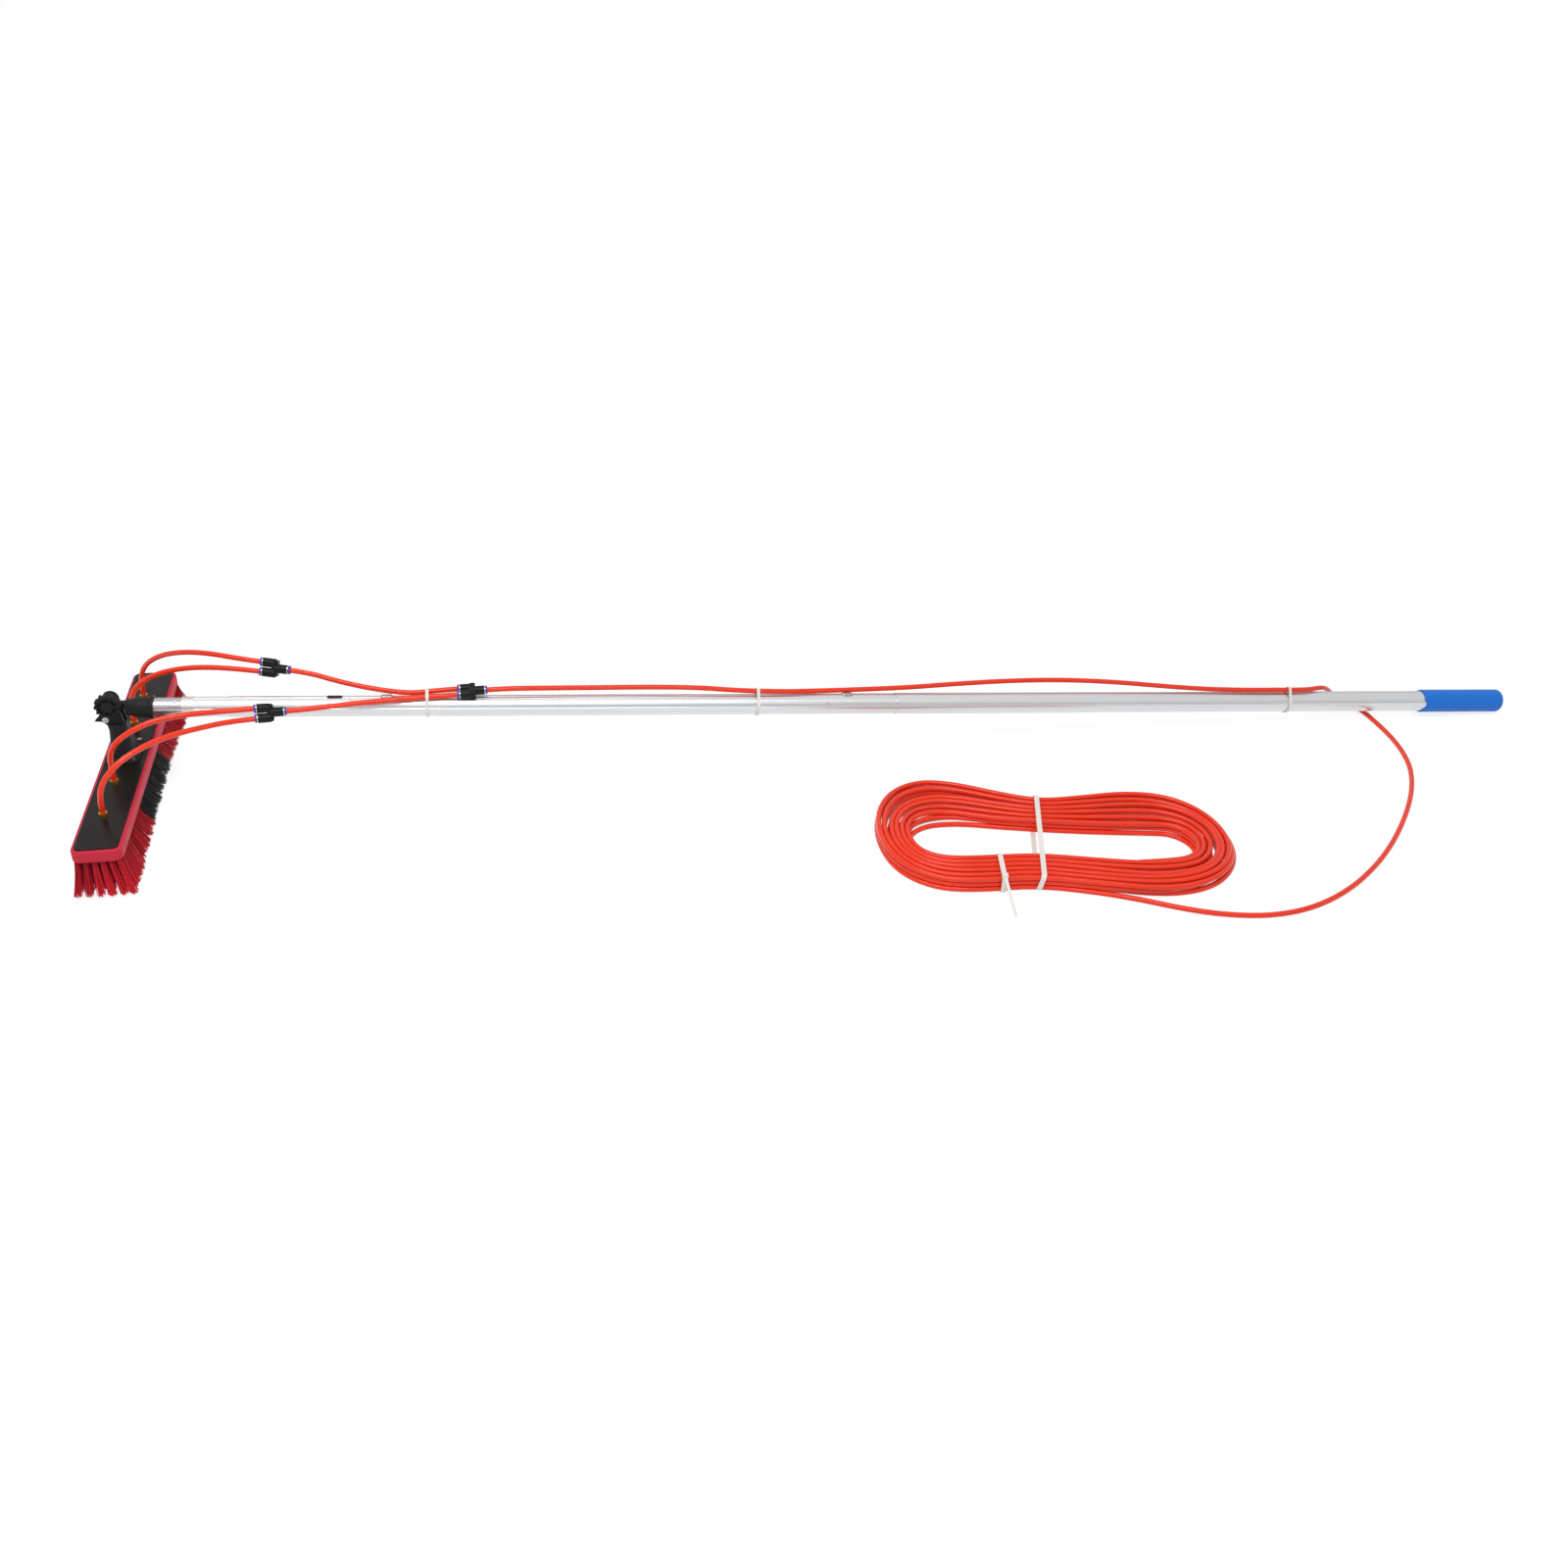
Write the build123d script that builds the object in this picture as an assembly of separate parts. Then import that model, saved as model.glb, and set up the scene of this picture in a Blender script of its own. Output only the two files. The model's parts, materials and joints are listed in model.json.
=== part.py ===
"""Water-fed window cleaning pole: brush head, three tubes, branched hose and hose hank.

Frame: millimetres, +Z up. The origin is the middle of the brush's bristle tips, on the floor.
+Y runs along the brush and +X runs along the pole, from the brush to the grip.
Whatever the pole carries is drawn in the pole's own frame and then laid down: s runs along
the pole from a datum by the tilt joint, y as above, and n is square to the pole, upwards.
"""
from build123d import *
import os
from math import asin, atan2, cos, degrees, hypot, pi, radians, sin, sqrt, tan

os.makedirs("parts", exist_ok=True)

# ---------------------------------------------------------------- brush
PANEL_LENGTH = 500.0
PANEL_WIDTH = 57.0
PANEL_THICKNESS = 3.4
PANEL_STANDS = 2.0
PANEL_CORNER = 8.0
RIM = 4.2
BLOCK_HEIGHT = 16.5
BLOCK_EDGE_ROUND = 2.5
BRISTLE_LENGTH = 54.9
BRISTLE_INSET = 3.0
TIP_FLARE_X = 9.0
TIP_FLARE_END = 20.0
COLOUR_ROOT_NEAR = -115.0
COLOUR_ROOT_FAR = 45.0
COLOUR_TIP = 86.0

# ---------------------------------------------------------------- water fittings on the brush
BARB_X = -3.5
BARB_INNER_Y = 83.4
BARB_OUTER_Y = 167.9
BARB_FLATS = 11.0
BARB_HEX_HEIGHT = 4.6
BARB_SPIGOT_LENGTH = 12.0
BARB_SHANK_RADIUS = 3.6
JET_RADIUS = 4.6
JET_HEIGHT = 7.0
JET_BORE_RADIUS = 0.8
JET_POCKET_RADIUS = 5.4
JET_POCKET_HEIGHT = 9.0

# ---------------------------------------------------------------- tilt joint
DATUM_X = -14.0
DATUM_ABOVE_PANEL = 85.0
POLE_BELOW_DATUM = 8.0
PIVOT_S = 5.0
PIVOT_N = 2.0
HUB_RADIUS = 11.0
HUB_WIDTH = 9.0
WASHER_THICKNESS = 1.0
EAR_RADIUS = 11.4
EAR_THICKNESS = 4.4
SIDE_GAP = 0.1
PIN_GAP = 0.06
BOLT_RADIUS = 3.95
BOLT_HEAD_FLATS = 13.0
BOLT_HEAD_HEIGHT = 5.0
KNOB_RADIUS = 15.8
KNOB_THICKNESS = 9.6
KNOB_RIBS = 12
KNOB_RIB_RADIUS = 2.5
KNOB_DISH = 3.4
NUT_FLATS = 13.0
NUT_HEIGHT = 6.5

# ---------------------------------------------------------------- foot of the tilt joint
FOOT_BASE_X = 48.0
FOOT_BASE_Y = 70.0
FOOT_BASE_HEIGHT = 4.0
FOOT_CENTRE_X = -3.0
COLUMN_FOOT_X = 34.0
COLUMN_FOOT_Y = 44.0
COLUMN_TOP_X = 24.0
COLUMN_TOP_Y = 27.0
COLUMN_TOP_CENTRE_X = -3.0
COLUMN_TOP_ABOVE_PANEL = 54.0
FOOT_SCREW_X = 16.0
FOOT_SCREW_Y = 28.0
SCREW_HEAD_RADIUS = 3.4
SCREW_HEAD_HEIGHT = 1.8
SCREW_SHANK_RADIUS = 1.9
# The lug's outline: x, and height above the panel.
LUG_OUTLINE = [
    (-32.6, 60.0), (-25.5, 67.5), (-21.0, 75.0), (-8.0, 75.0), (-8.0, 44.0), (-14.8, 46.0), (-16.6, 53.3),
    (-22.7, 58.8),
]
LUG_SCREW_X = -17.0
LUG_SCREW_ABOVE_PANEL = 62.0
LUG_SCREW_RADIUS = 4.6

# ---------------------------------------------------------------- socket arm and adapter
SOCKET_END = 64.7
# The socket's outside: s, and radius about the tubes' axis.
SOCKET_PROFILE = [(26.0, 10.8), (43.0, 14.7), (57.5, 15.3), (61.0, 17.6), (SOCKET_END, 17.6)]
SLEEVE_RADIUS = 13.3
SLEEVE_WALL = 1.5
SLEEVE_INSERT = 18.0
SLEEVE_END = 103.5
SLEEVE_TAIL = 32.0
RIVET_AT = 93.4
RIVET_ANGLE = 59.0
RIVET_HEAD_RADIUS = 2.6
RIVET_SHANK_RADIUS = 1.6
COLLAR_LENGTH = 16.1
COLLAR_PLUG_LENGTH = 15.0
COLLAR_PROUD = 0.3

# ---------------------------------------------------------------- telescopic tubes
TUBE_D_DIAMETER = 34.0
TUBE_WALL = 0.6
TUBE_GAP = 0.1
FLUTES = 28
FLUTE_DEPTH = 0.22
BORE_SIDES = 56
TUBE_A_SHOWS = 49.4
TUBE_B_SHOWS = 294.8
TUBE_C_SHOWS = 712.9
TUBE_D_SHOWS = 942.0
TUBE_A_BEYOND_LOCK = 48.4
TUBE_B_BEFORE_SNAP = 26.6
TUBE_C_LENGTH = 1003.2
GRIP_LENGTH = 153.6
GRIP_RADIUS = 19.3
GRIP_EDGE_ROUND = 8.0
GRIP_LIP_DEPTH = 4.0
GRIP_END_WALL = 5.0
PLUG_LENGTH = 22.0
FIT_GAP = 0.05

# ---------------------------------------------------------------- spring buttons
LOCK_BEHIND_MOUTH = 147.6
LOCK_LENGTH = 22.4
LOCK_WIDTH = 7.6
LOCK_PROUD = 0.7
SNAP_B_BEFORE_MOUTH = 72.8
SNAP_C_BEFORE_MOUTH = 80.1
SNAP_LENGTH = 18.0
SNAP_WIDTH = 8.0
SNAP_PROUD = 2.4
BUTTON_GAP = 0.2
BUTTON_FLANGE = 2.0
BUTTON_FLANGE_THICKNESS = 1.6
FLANGE_DROP = 0.5
SPRING_THICKNESS = 0.8
SPRING_WIDTH = 7.0
SPRING_REACH = 40.0
STOP_RIVET_BEFORE_MOUTH = 112.7
STOP_RIVET_ANGLE = 32.0
STOP_RIVET_RADIUS = 1.6

# ---------------------------------------------------------------- hose and push-in fittings
HOSE_RADIUS = 4.0
HOSE_BORE_RADIUS = 2.5
HOSE_GAP = 0.08
BORE_GAP = 0.08
PORT_PITCH = 14.6
PORT_RADIUS = 6.9
PORT_MOUTH = 18.0
PORT_RING_LENGTH = 1.2
PORT_RING_WALL = 1.0
COLLAR_TUBE_RADIUS = 5.7
COLLAR_FLANGE_RADIUS = 6.6
COLLAR_FLANGE_THICKNESS = 1.5
COLLAR_TRAVEL = 1.2
COLLAR_TRAVEL_GAP = 0.1
COLLAR_DEPTH = 6.0
HOSE_STOP = 3.5
SEAL_AT = 7.2
SEAL_WIDTH = 1.7
SEAL_RADIUS = 5.5
CROTCH_LENGTH = 9.0
EXIT_RUN = 26.0

# Push-in fittings in the pole's frame: middle, way from the two ports to the one, way to the first port.
FITTING_OVER_TUBE = 1.9
JOINING_BEHIND_MOUTH = 52.1
REAR_Y = ((229.8, 52.0, 35.5), (0.980, -0.195, -0.041), (0.188, 0.352, 0.917))
FRONT_Y = ((229.2, -38.0, 11.2), (0.992, 0.119, 0.028), (0.086, 0.378, 0.922))
JOINING_WAYS = ((0.997, 0.0, 0.078), (0.0, 0.99, 0.138))

# ---------------------------------------------------------------- cable ties
TIE_WIDTH = 4.8
TIE_THICKNESS = 1.2
TIE_GAP = 0.5
TIE_HEAD = (8.4, 6.4, 5.2)
TIE_HEAD_ANGLE = -25.0
TIE_1_BEFORE_MOUTH = 14.3
TIE_2_AT = 952.5
TIE_3_AT = 1863.2
FLOOR_TIE_WIDTH = 7.2
TAIL_WIDTH = 4.6

# ---------------------------------------------------------------- routes of the free hose
# Beside the pole each point is (s, y, n) in its frame. On the floor it is (x, y, rise above lying).
BRANCH_RISE = 30.0
BRANCH_ROUTES = {
    "branch_hose_1": [(23.4, 158, -15), (52, 138, 12.6), (90.7, 110, 33), (132, 84, 44.3)],
    "branch_hose_2": [(18.6, 85, -19.4), (43.4, 87, 3), (81.5, 80, 19.3), (125, 71, 28)],
    "branch_hose_3": [(17, -85.5, -19.5), (38.3, -85, 3.8), (74.5, -74, 19), (119.4, -60, 21.5)],
    "branch_hose_4": [(21.7, -162, -21.2), (46.5, -144, 1.3), (88, -112, 11.7), (132, -80, 9.3)],
}
LINK_REAR_ROUTE = [(314, 34.5, 24.8), (352, 22, 21.2), (390, 10, 20), (428, 1.5, 20.2)]
LINK_FRONT_ROUTE = [(314, -27.5, 15.6), (352, -21.5, 16.6), (390, -14.5, 17.1), (428, -9.5, 18.4)]
UPPER_FEED_ROUTE = [
    (626, 5, 26.7), (704, 8.5, 25.4), (789, 8, 26.5), (864, 5, 26.7), (914.5, 2, 23.5), (TIE_2_AT, 1, 22.7),
]
LOWER_FEED_ROUTE = [
    (TIE_2_AT, 1, 22.7), (990.5, 0, 21.9), (1050, 6.5, 19.7), (1120, 10.5, 19.7), (1200, 11.5, 22.6),
    (1285, 16, 27), (1375, 20.5, 29.9), (1465, 21, 31), (1555, 17, 28.9), (1641, 9, 24.9),
    (1716, 3.5, 22.2), (1786, 0.5, 22), (1828.2, 0, 22.5), (TIE_3_AT, 0, 22.4),
]
LEAD_START = [(TIE_3_AT, 0, 22.4), (1898.2, 0, 22.3), (1927.6, 12.5, 19.8), (1949.6, 25, 12)]
LEAD_ON_FLOOR = [
    (1951, 36, 29), (1972, 43, 14), (1995.5, 33.4, 4), (2009, 12.5, 0), (2011, -18, 0), (2012.5, -52, 0),
    (2011, -88, 0), (2005, -126, 0), (1993, -167, 0), (1972, -210, 0), (1942, -257, 0), (1900, -311, 0),
    (1848, -369, 0), (1792, -421, 0), (1724, -471, 0), (1652, -505, 0), (1582, -516, 0), (1514, -504, 0),
    (1462, -482, 2), (1418, -450, 9),
]
FLOOR_GAP = 0.1

# ---------------------------------------------------------------- hose hank on the floor
HANK_BOTTOM = 1.8
HANK_TOP = 26.0
HANK_OUTLINE = [
    (1187, -132), (1124, -150), (1080, -212), (1073, -312), (1109, -381), (1170, -405), (1275, -407),
    (1363, -438), (1448, -468), (1500, -462), (1552, -436), (1593, -380), (1608, -300), (1582, -232),
    (1500, -200), (1415, -205), (1343, -211), (1285, -182),
]
HANK_HOLE = [
    (1133, -268), (1186, -240), (1245, -256), (1316, -264), (1374, -282), (1445, -299), (1503, -318),
    (1528, -350), (1455, -393), (1367, -371), (1302, -353), (1209, -353), (1140, -322),
]
HANK_TIE_CORNER = 6.0
HANK_TIE_FAR = (1334.0, -204.5)
HANK_TIE_NEAR = (1276.5, -413.0)
HANK_TIE_LEAN = 12.0
RUN_TIE_FAR = (1233.5, -348.0)
RUN_TIE_NEAR = (1222.0, -411.0)
RUN_TIE_HEAD_AT = 0.04
RUN_TIE_TAIL_TO = (1224.0, -465.0)
HANK_EDGE_ROUND = 8.0
LEAD_IN_HANK = 0.72
LEAD_IN_HANK_GAP = 0.3

# ================================================================ values that follow
BLOCK_WIDTH = PANEL_WIDTH + 2 * RIM
BLOCK_LENGTH = PANEL_LENGTH + 2 * RIM
BLOCK_TOP = BRISTLE_LENGTH + BLOCK_HEIGHT
PANEL_TOP = BLOCK_TOP + PANEL_STANDS
PANEL_BOTTOM = PANEL_TOP - PANEL_THICKNESS
DATUM_Z = PANEL_TOP + DATUM_ABOVE_PANEL
BARBS_Y = (BARB_OUTER_Y, BARB_INNER_Y, -BARB_INNER_Y, -BARB_OUTER_Y)

TUBE_STEP = 2 * (TUBE_WALL + TUBE_GAP)
TUBE_D_RADIUS = TUBE_D_DIAMETER / 2
TUBE_C_RADIUS = TUBE_D_RADIUS - TUBE_STEP / 2
TUBE_B_RADIUS = TUBE_C_RADIUS - TUBE_STEP / 2
TUBE_A_RADIUS = TUBE_B_RADIUS - TUBE_STEP / 2

COLLAR_END = SLEEVE_END + COLLAR_LENGTH
TUBE_B_START = COLLAR_END + TUBE_A_SHOWS
TUBE_C_START = TUBE_B_START + TUBE_B_SHOWS
TUBE_D_START = TUBE_C_START + TUBE_C_SHOWS
GRIP_START = TUBE_D_START + TUBE_D_SHOWS
GRIP_END = GRIP_START + GRIP_LENGTH
LOCK_AT = TUBE_B_START + LOCK_BEHIND_MOUTH
SNAP_B_AT = TUBE_C_START - SNAP_B_BEFORE_MOUTH
SNAP_C_AT = TUBE_D_START - SNAP_C_BEFORE_MOUTH
STOP_RIVET_AT = TUBE_D_START - STOP_RIVET_BEFORE_MOUTH
TUBE_A_END = LOCK_AT + TUBE_A_BEYOND_LOCK
TUBE_B_END = SNAP_C_AT - TUBE_B_BEFORE_SNAP
TUBE_C_END = TUBE_C_START + TUBE_C_LENGTH
TIE_1_AT = TUBE_C_START - TIE_1_BEFORE_MOUTH

EDGE_S = GRIP_END - GRIP_EDGE_ROUND
EDGE_N = POLE_BELOW_DATUM + GRIP_RADIUS
# The pole lies with its grip's lower edge on the floor.
SLOPE = asin(DATUM_Z / hypot(EDGE_S, EDGE_N)) - atan2(EDGE_N, EDGE_S)
POLE = Location((DATUM_X, 0, DATUM_Z), (0, degrees(SLOPE), 0))
PIVOT_X = DATUM_X + PIVOT_S * cos(SLOPE) + PIVOT_N * sin(SLOPE)
PIVOT_Z = DATUM_Z - PIVOT_S * sin(SLOPE) + PIVOT_N * cos(SLOPE)

EAR_INNER = HUB_WIDTH / 2 + WASHER_THICKNESS + 2 * SIDE_GAP
EAR_OUTER = EAR_INNER + EAR_THICKNESS
PIN_HOLE = BOLT_RADIUS + PIN_GAP
SLEEVE_START = SOCKET_END - SLEEVE_INSERT
FITTINGS = {
    "rear_y": REAR_Y,
    "front_y": FRONT_Y,
    "joining_y": (
        (TUBE_C_START + JOINING_BEHIND_MOUTH, 0.0, TUBE_C_RADIUS + PORT_RADIUS + FITTING_OVER_TUBE), *JOINING_WAYS
    ),
}
PORT_OUTSIDE = PORT_MOUTH + PORT_RING_LENGTH + COLLAR_TRAVEL + COLLAR_FLANGE_THICKNESS + EXIT_RUN
PORT_INSIDE = HOSE_STOP + 0.3


def save(name, shape):
    """Write one sub-part; several solids go out as one group."""
    solids = shape.solids()
    out = solids[0] if len(solids) == 1 else Compound(children=list(solids))
    out.label = name
    export_step(out, f"parts/{name}.step")


def rod(start, end, radius, along="X"):
    """A round bar between two places on its own axis, which runs along X, Y or Z."""
    turn = {"X": (0, 90, 0), "Y": (-90, 0, 0), "Z": (0, 0, 0)}[along]
    place = {"X": (start, 0, 0), "Y": (0, start, 0), "Z": (0, 0, start)}[along]
    return Location(place, turn) * Cylinder(radius, end - start, align=(Align.CENTER, Align.CENTER, Align.MIN))


def slab(x, y, z):
    """A box between two values on each axis."""
    size = (x[1] - x[0], y[1] - y[0], z[1] - z[0])
    return Pos((x[0] + x[1]) / 2, (y[0] + y[1]) / 2, (z[0] + z[1]) / 2) * Box(*size)


def on_axis(shape):
    """Move a shape drawn about the X axis onto the tubes' axis, and lay it down."""
    return POLE * Pos(0, 0, -POLE_BELOW_DATUM) * shape


def to_tube_axis(x, y, z):
    """Where a point of the floor's frame lies along and across the tubes: (s, y, n)."""
    dx, dz = x - DATUM_X, z - DATUM_Z
    s = dx * cos(SLOPE) - dz * sin(SLOPE)
    n = dx * sin(SLOPE) + dz * cos(SLOPE) + POLE_BELOW_DATUM
    return s, y, n


# ================================================================ brush
def rounded_plate(width, length, corner, low, high):
    return Pos(0, 0, low) * extrude(RectangleRounded(width, length, corner), high - low)


def brush_block():
    corner = PANEL_CORNER + RIM
    block = rounded_plate(BLOCK_WIDTH, BLOCK_LENGTH, corner, BRISTLE_LENGTH, BLOCK_TOP)
    block = fillet(block.faces().sort_by(Axis.Z)[-1].edges(), BLOCK_EDGE_ROUND)
    block -= rounded_plate(PANEL_WIDTH, PANEL_LENGTH, PANEL_CORNER, PANEL_BOTTOM, BLOCK_TOP + 1)
    for y in BARBS_Y:
        block -= Pos(BARB_X, y, 0) * rod(BRISTLE_LENGTH - 1, BLOCK_TOP, BARB_SHANK_RADIUS + FIT_GAP, "Z")
    return block


def top_panel():
    panel = rounded_plate(
        PANEL_WIDTH - 2 * FIT_GAP, PANEL_LENGTH - 2 * FIT_GAP, PANEL_CORNER - FIT_GAP, PANEL_BOTTOM, PANEL_TOP
    )
    panel = fillet(panel.faces().sort_by(Axis.Z)[-1].edges(), PANEL_STANDS / 2)
    for y in BARBS_Y:
        panel -= Pos(BARB_X, y, 0) * rod(PANEL_BOTTOM - 1, PANEL_TOP + 1, BARB_SHANK_RADIUS + FIT_GAP, "Z")
    for x, y in foot_screw_places():
        panel -= Pos(x, y, 0) * rod(PANEL_BOTTOM - 1, PANEL_TOP + 1, SCREW_SHANK_RADIUS + FIT_GAP, "Z")
    return panel


def bristle_field(root_from, root_to, tip_from, tip_to):
    """One colour's stretch of bristle, leaning from its root at the block to its tips on the floor."""
    half_root = BLOCK_WIDTH / 2 - BRISTLE_INSET
    half_tip = half_root + TIP_FLARE_X
    tip = Polyline((-half_tip, tip_from), (half_tip, tip_from), (half_tip, tip_to), (-half_tip, tip_to), close=True)
    root = Polyline(
        (-half_root, root_from), (half_root, root_from), (half_root, root_to), (-half_root, root_to), close=True
    )
    field = loft([make_face(tip), Pos(0, 0, BRISTLE_LENGTH) * make_face(root)], ruled=True)
    for y in BARBS_Y:
        pocket = rod(BRISTLE_LENGTH - JET_POCKET_HEIGHT, BRISTLE_LENGTH + 1, JET_POCKET_RADIUS, "Z")
        field -= Pos(BARB_X, y, 0) * pocket
    return field


def bristles():
    end = BLOCK_LENGTH / 2 - BRISTLE_INSET
    tip_end = end + TIP_FLARE_END
    near = bristle_field(-end, COLOUR_ROOT_NEAR, -tip_end, -COLOUR_TIP)
    middle = bristle_field(COLOUR_ROOT_NEAR, COLOUR_ROOT_FAR, -COLOUR_TIP, COLOUR_TIP)
    far = bristle_field(COLOUR_ROOT_FAR, end, COLOUR_TIP, tip_end)
    return Compound(children=[near.solids()[0], far.solids()[0]]), middle


def hexagon(flats, low, high, along="Z"):
    turn = {"Z": (0, 0, 0), "Y": (-90, 0, 0)}[along]
    place = {"Z": (0, 0, low), "Y": (0, low, 0)}[along]
    return Location(place, turn) * extrude(RegularPolygon(flats / 2, 6, major_radius=False), high - low)


def hose_barb(y):
    """A brass hose barb: shank through the panel and block, hexagon, and a spigot inside the hose."""
    spigot_radius = HOSE_BORE_RADIUS - BORE_GAP
    hex_top = PANEL_TOP + BARB_HEX_HEIGHT
    barb = rod(BRISTLE_LENGTH, PANEL_TOP, BARB_SHANK_RADIUS, "Z")
    barb += hexagon(BARB_FLATS, PANEL_TOP, hex_top)
    barb += rod(hex_top, hex_top + BARB_SPIGOT_LENGTH, spigot_radius, "Z")
    barb -= rod(BRISTLE_LENGTH - 1, hex_top + BARB_SPIGOT_LENGTH + 1, spigot_radius / 2, "Z")
    return Pos(BARB_X, y, 0) * barb


def spray_jet(y):
    """A jet nozzle, screwed on under the block among the bristles."""
    jet = rod(BRISTLE_LENGTH - JET_HEIGHT, BRISTLE_LENGTH, JET_RADIUS, "Z")
    jet = chamfer(jet.edges().sort_by(Axis.Z)[0], JET_RADIUS / 3)
    jet -= rod(BRISTLE_LENGTH - JET_HEIGHT - 1, BRISTLE_LENGTH + 1, JET_BORE_RADIUS, "Z")
    return Pos(BARB_X, y, 0) * jet


# ================================================================ foot, hub and knob
def foot_screw_places():
    return [
        (FOOT_CENTRE_X + x, y) for x in (-FOOT_SCREW_X, FOOT_SCREW_X) for y in (-FOOT_SCREW_Y, FOOT_SCREW_Y)
    ]


def swivel_foot():
    """Base plate, leaning column, two ears for the pivot and a pointed lug, moulded in one."""
    base = Pos(FOOT_CENTRE_X, 0, PANEL_TOP) * extrude(
        RectangleRounded(FOOT_BASE_X, FOOT_BASE_Y, 9), FOOT_BASE_HEIGHT
    )
    base = fillet(base.faces().sort_by(Axis.Z)[-1].edges(), 1.2)
    low = PANEL_TOP + FOOT_BASE_HEIGHT
    high = PANEL_TOP + COLUMN_TOP_ABOVE_PANEL
    column = loft(
        [
            Pos(FOOT_CENTRE_X, 0, low - 1) * RectangleRounded(COLUMN_FOOT_X, COLUMN_FOOT_Y, 14),
            Pos(COLUMN_TOP_CENTRE_X, 0, high) * RectangleRounded(COLUMN_TOP_X, COLUMN_TOP_Y, 8),
        ]
    )
    lowest = high - 10
    ear_foot = Pos(COLUMN_TOP_CENTRE_X, lowest) * Rectangle(COLUMN_TOP_X, 2)
    ear = Plane.XZ * make_face(make_hull((Pos(PIVOT_X, PIVOT_Z) * Circle(EAR_RADIUS)).edges() + ear_foot.edges()))
    foot = base + column
    for side in (-1, 1):
        middle = side * (EAR_INNER + EAR_OUTER) / 2
        foot += Pos(0, middle, 0) * extrude(ear, EAR_THICKNESS / 2, both=True)
    lug = Plane.XZ * make_face(Polyline(*[(x, PANEL_TOP + rise) for x, rise in LUG_OUTLINE], close=True))
    foot += Pos(0, -(EAR_INNER + EAR_OUTER) / 2, 0) * extrude(lug, EAR_THICKNESS / 2, both=True)
    hub_room = Pos(PIVOT_X, 0, PIVOT_Z) * rod(-EAR_INNER, EAR_INNER, EAR_RADIUS + 2, "Y")
    foot -= hub_room
    foot -= Pos(PIVOT_X, 0, PIVOT_Z) * rod(-EAR_OUTER - 1, EAR_OUTER + 1, PIN_HOLE, "Y")
    for x, y in foot_screw_places():
        foot -= Pos(x, y, 0) * rod(PANEL_TOP - 1, low + 1, SCREW_SHANK_RADIUS + FIT_GAP, "Z")
    screw_hole = rod(-EAR_OUTER - 1, -EAR_INNER + 1, SCREW_SHANK_RADIUS + FIT_GAP, "Y")
    foot -= Pos(LUG_SCREW_X, 0, PANEL_TOP + LUG_SCREW_ABOVE_PANEL) * screw_hole
    return foot


def foot_screws():
    screws = []
    low = PANEL_TOP + FOOT_BASE_HEIGHT
    for x, y in foot_screw_places():
        screw = rod(PANEL_BOTTOM, low, SCREW_SHANK_RADIUS, "Z")
        screw += rod(low, low + SCREW_HEAD_HEIGHT, SCREW_HEAD_RADIUS, "Z")
        screws.append((Pos(x, y, 0) * screw).solids()[0])
    return Compound(children=screws)


def lug_screw():
    head = rod(-EAR_OUTER - SCREW_HEAD_HEIGHT, -EAR_OUTER, LUG_SCREW_RADIUS, "Y")
    slot = slab((-LUG_SCREW_RADIUS, LUG_SCREW_RADIUS), (-EAR_OUTER - 3, -EAR_OUTER - 1), (-0.6, 0.6))
    shank = rod(-EAR_OUTER, -EAR_INNER, SCREW_SHANK_RADIUS, "Y")
    return Pos(LUG_SCREW_X, 0, PANEL_TOP + LUG_SCREW_ABOVE_PANEL) * (head - slot + shank)


def pivot_bolt():
    """Hexagon-headed bolt through ears, washers and hub, into the knob's nut."""
    knob_end = EAR_OUTER + SIDE_GAP + KNOB_THICKNESS - 3
    bolt = rod(-knob_end, EAR_OUTER, BOLT_RADIUS, "Y")
    bolt += hexagon(BOLT_HEAD_FLATS, EAR_OUTER, EAR_OUTER + BOLT_HEAD_HEIGHT, "Y")
    return Pos(PIVOT_X, 0, PIVOT_Z) * bolt


def tilt_washers():
    washers = []
    for side in (-1, 1):
        inner = side * (HUB_WIDTH / 2 + SIDE_GAP)
        outer = inner + side * WASHER_THICKNESS
        washer = rod(min(inner, outer), max(inner, outer), HUB_RADIUS - 2, "Y")
        washer -= rod(min(inner, outer) - 1, max(inner, outer) + 1, PIN_HOLE, "Y")
        washers.append((Pos(PIVOT_X, 0, PIVOT_Z) * washer).solids()[0])
    return Compound(children=washers)


def clamp_knob():
    """Ribbed knob on the near side, with a hexagon pocket for its nut and a dished face."""
    face = EAR_OUTER + SIDE_GAP
    outline = Circle(KNOB_RADIUS) + PolarLocations(KNOB_RADIUS, KNOB_RIBS) * Circle(KNOB_RIB_RADIUS)
    knob = extrude(outline, KNOB_THICKNESS)
    dish_radius = KNOB_RADIUS - 2.6
    dish_floor = KNOB_THICKNESS - KNOB_DISH
    boss_radius = NUT_FLATS / 2 + 1.6
    up = (Align.CENTER, Align.CENTER, Align.MIN)
    knob -= Pos(0, 0, dish_floor) * Cylinder(dish_radius, KNOB_DISH + 1, align=up)
    spokes = Sketch() + PolarLocations(dish_radius / 2, KNOB_RIBS // 2) * Rectangle(dish_radius + 1, 1.8)
    knob += Pos(0, 0, dish_floor - 0.5) * extrude(spokes, KNOB_DISH)
    knob += Pos(0, 0, dish_floor - 0.5) * Cylinder(boss_radius, KNOB_DISH, align=up)
    knob -= extrude(Circle(PIN_HOLE), KNOB_THICKNESS - 2)
    knob -= extrude(RegularPolygon(NUT_FLATS / 2 + FIT_GAP, 6, major_radius=False), NUT_HEIGHT + FIT_GAP)
    return Location((PIVOT_X, -face, PIVOT_Z), (90, 0, 0)) * knob


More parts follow.
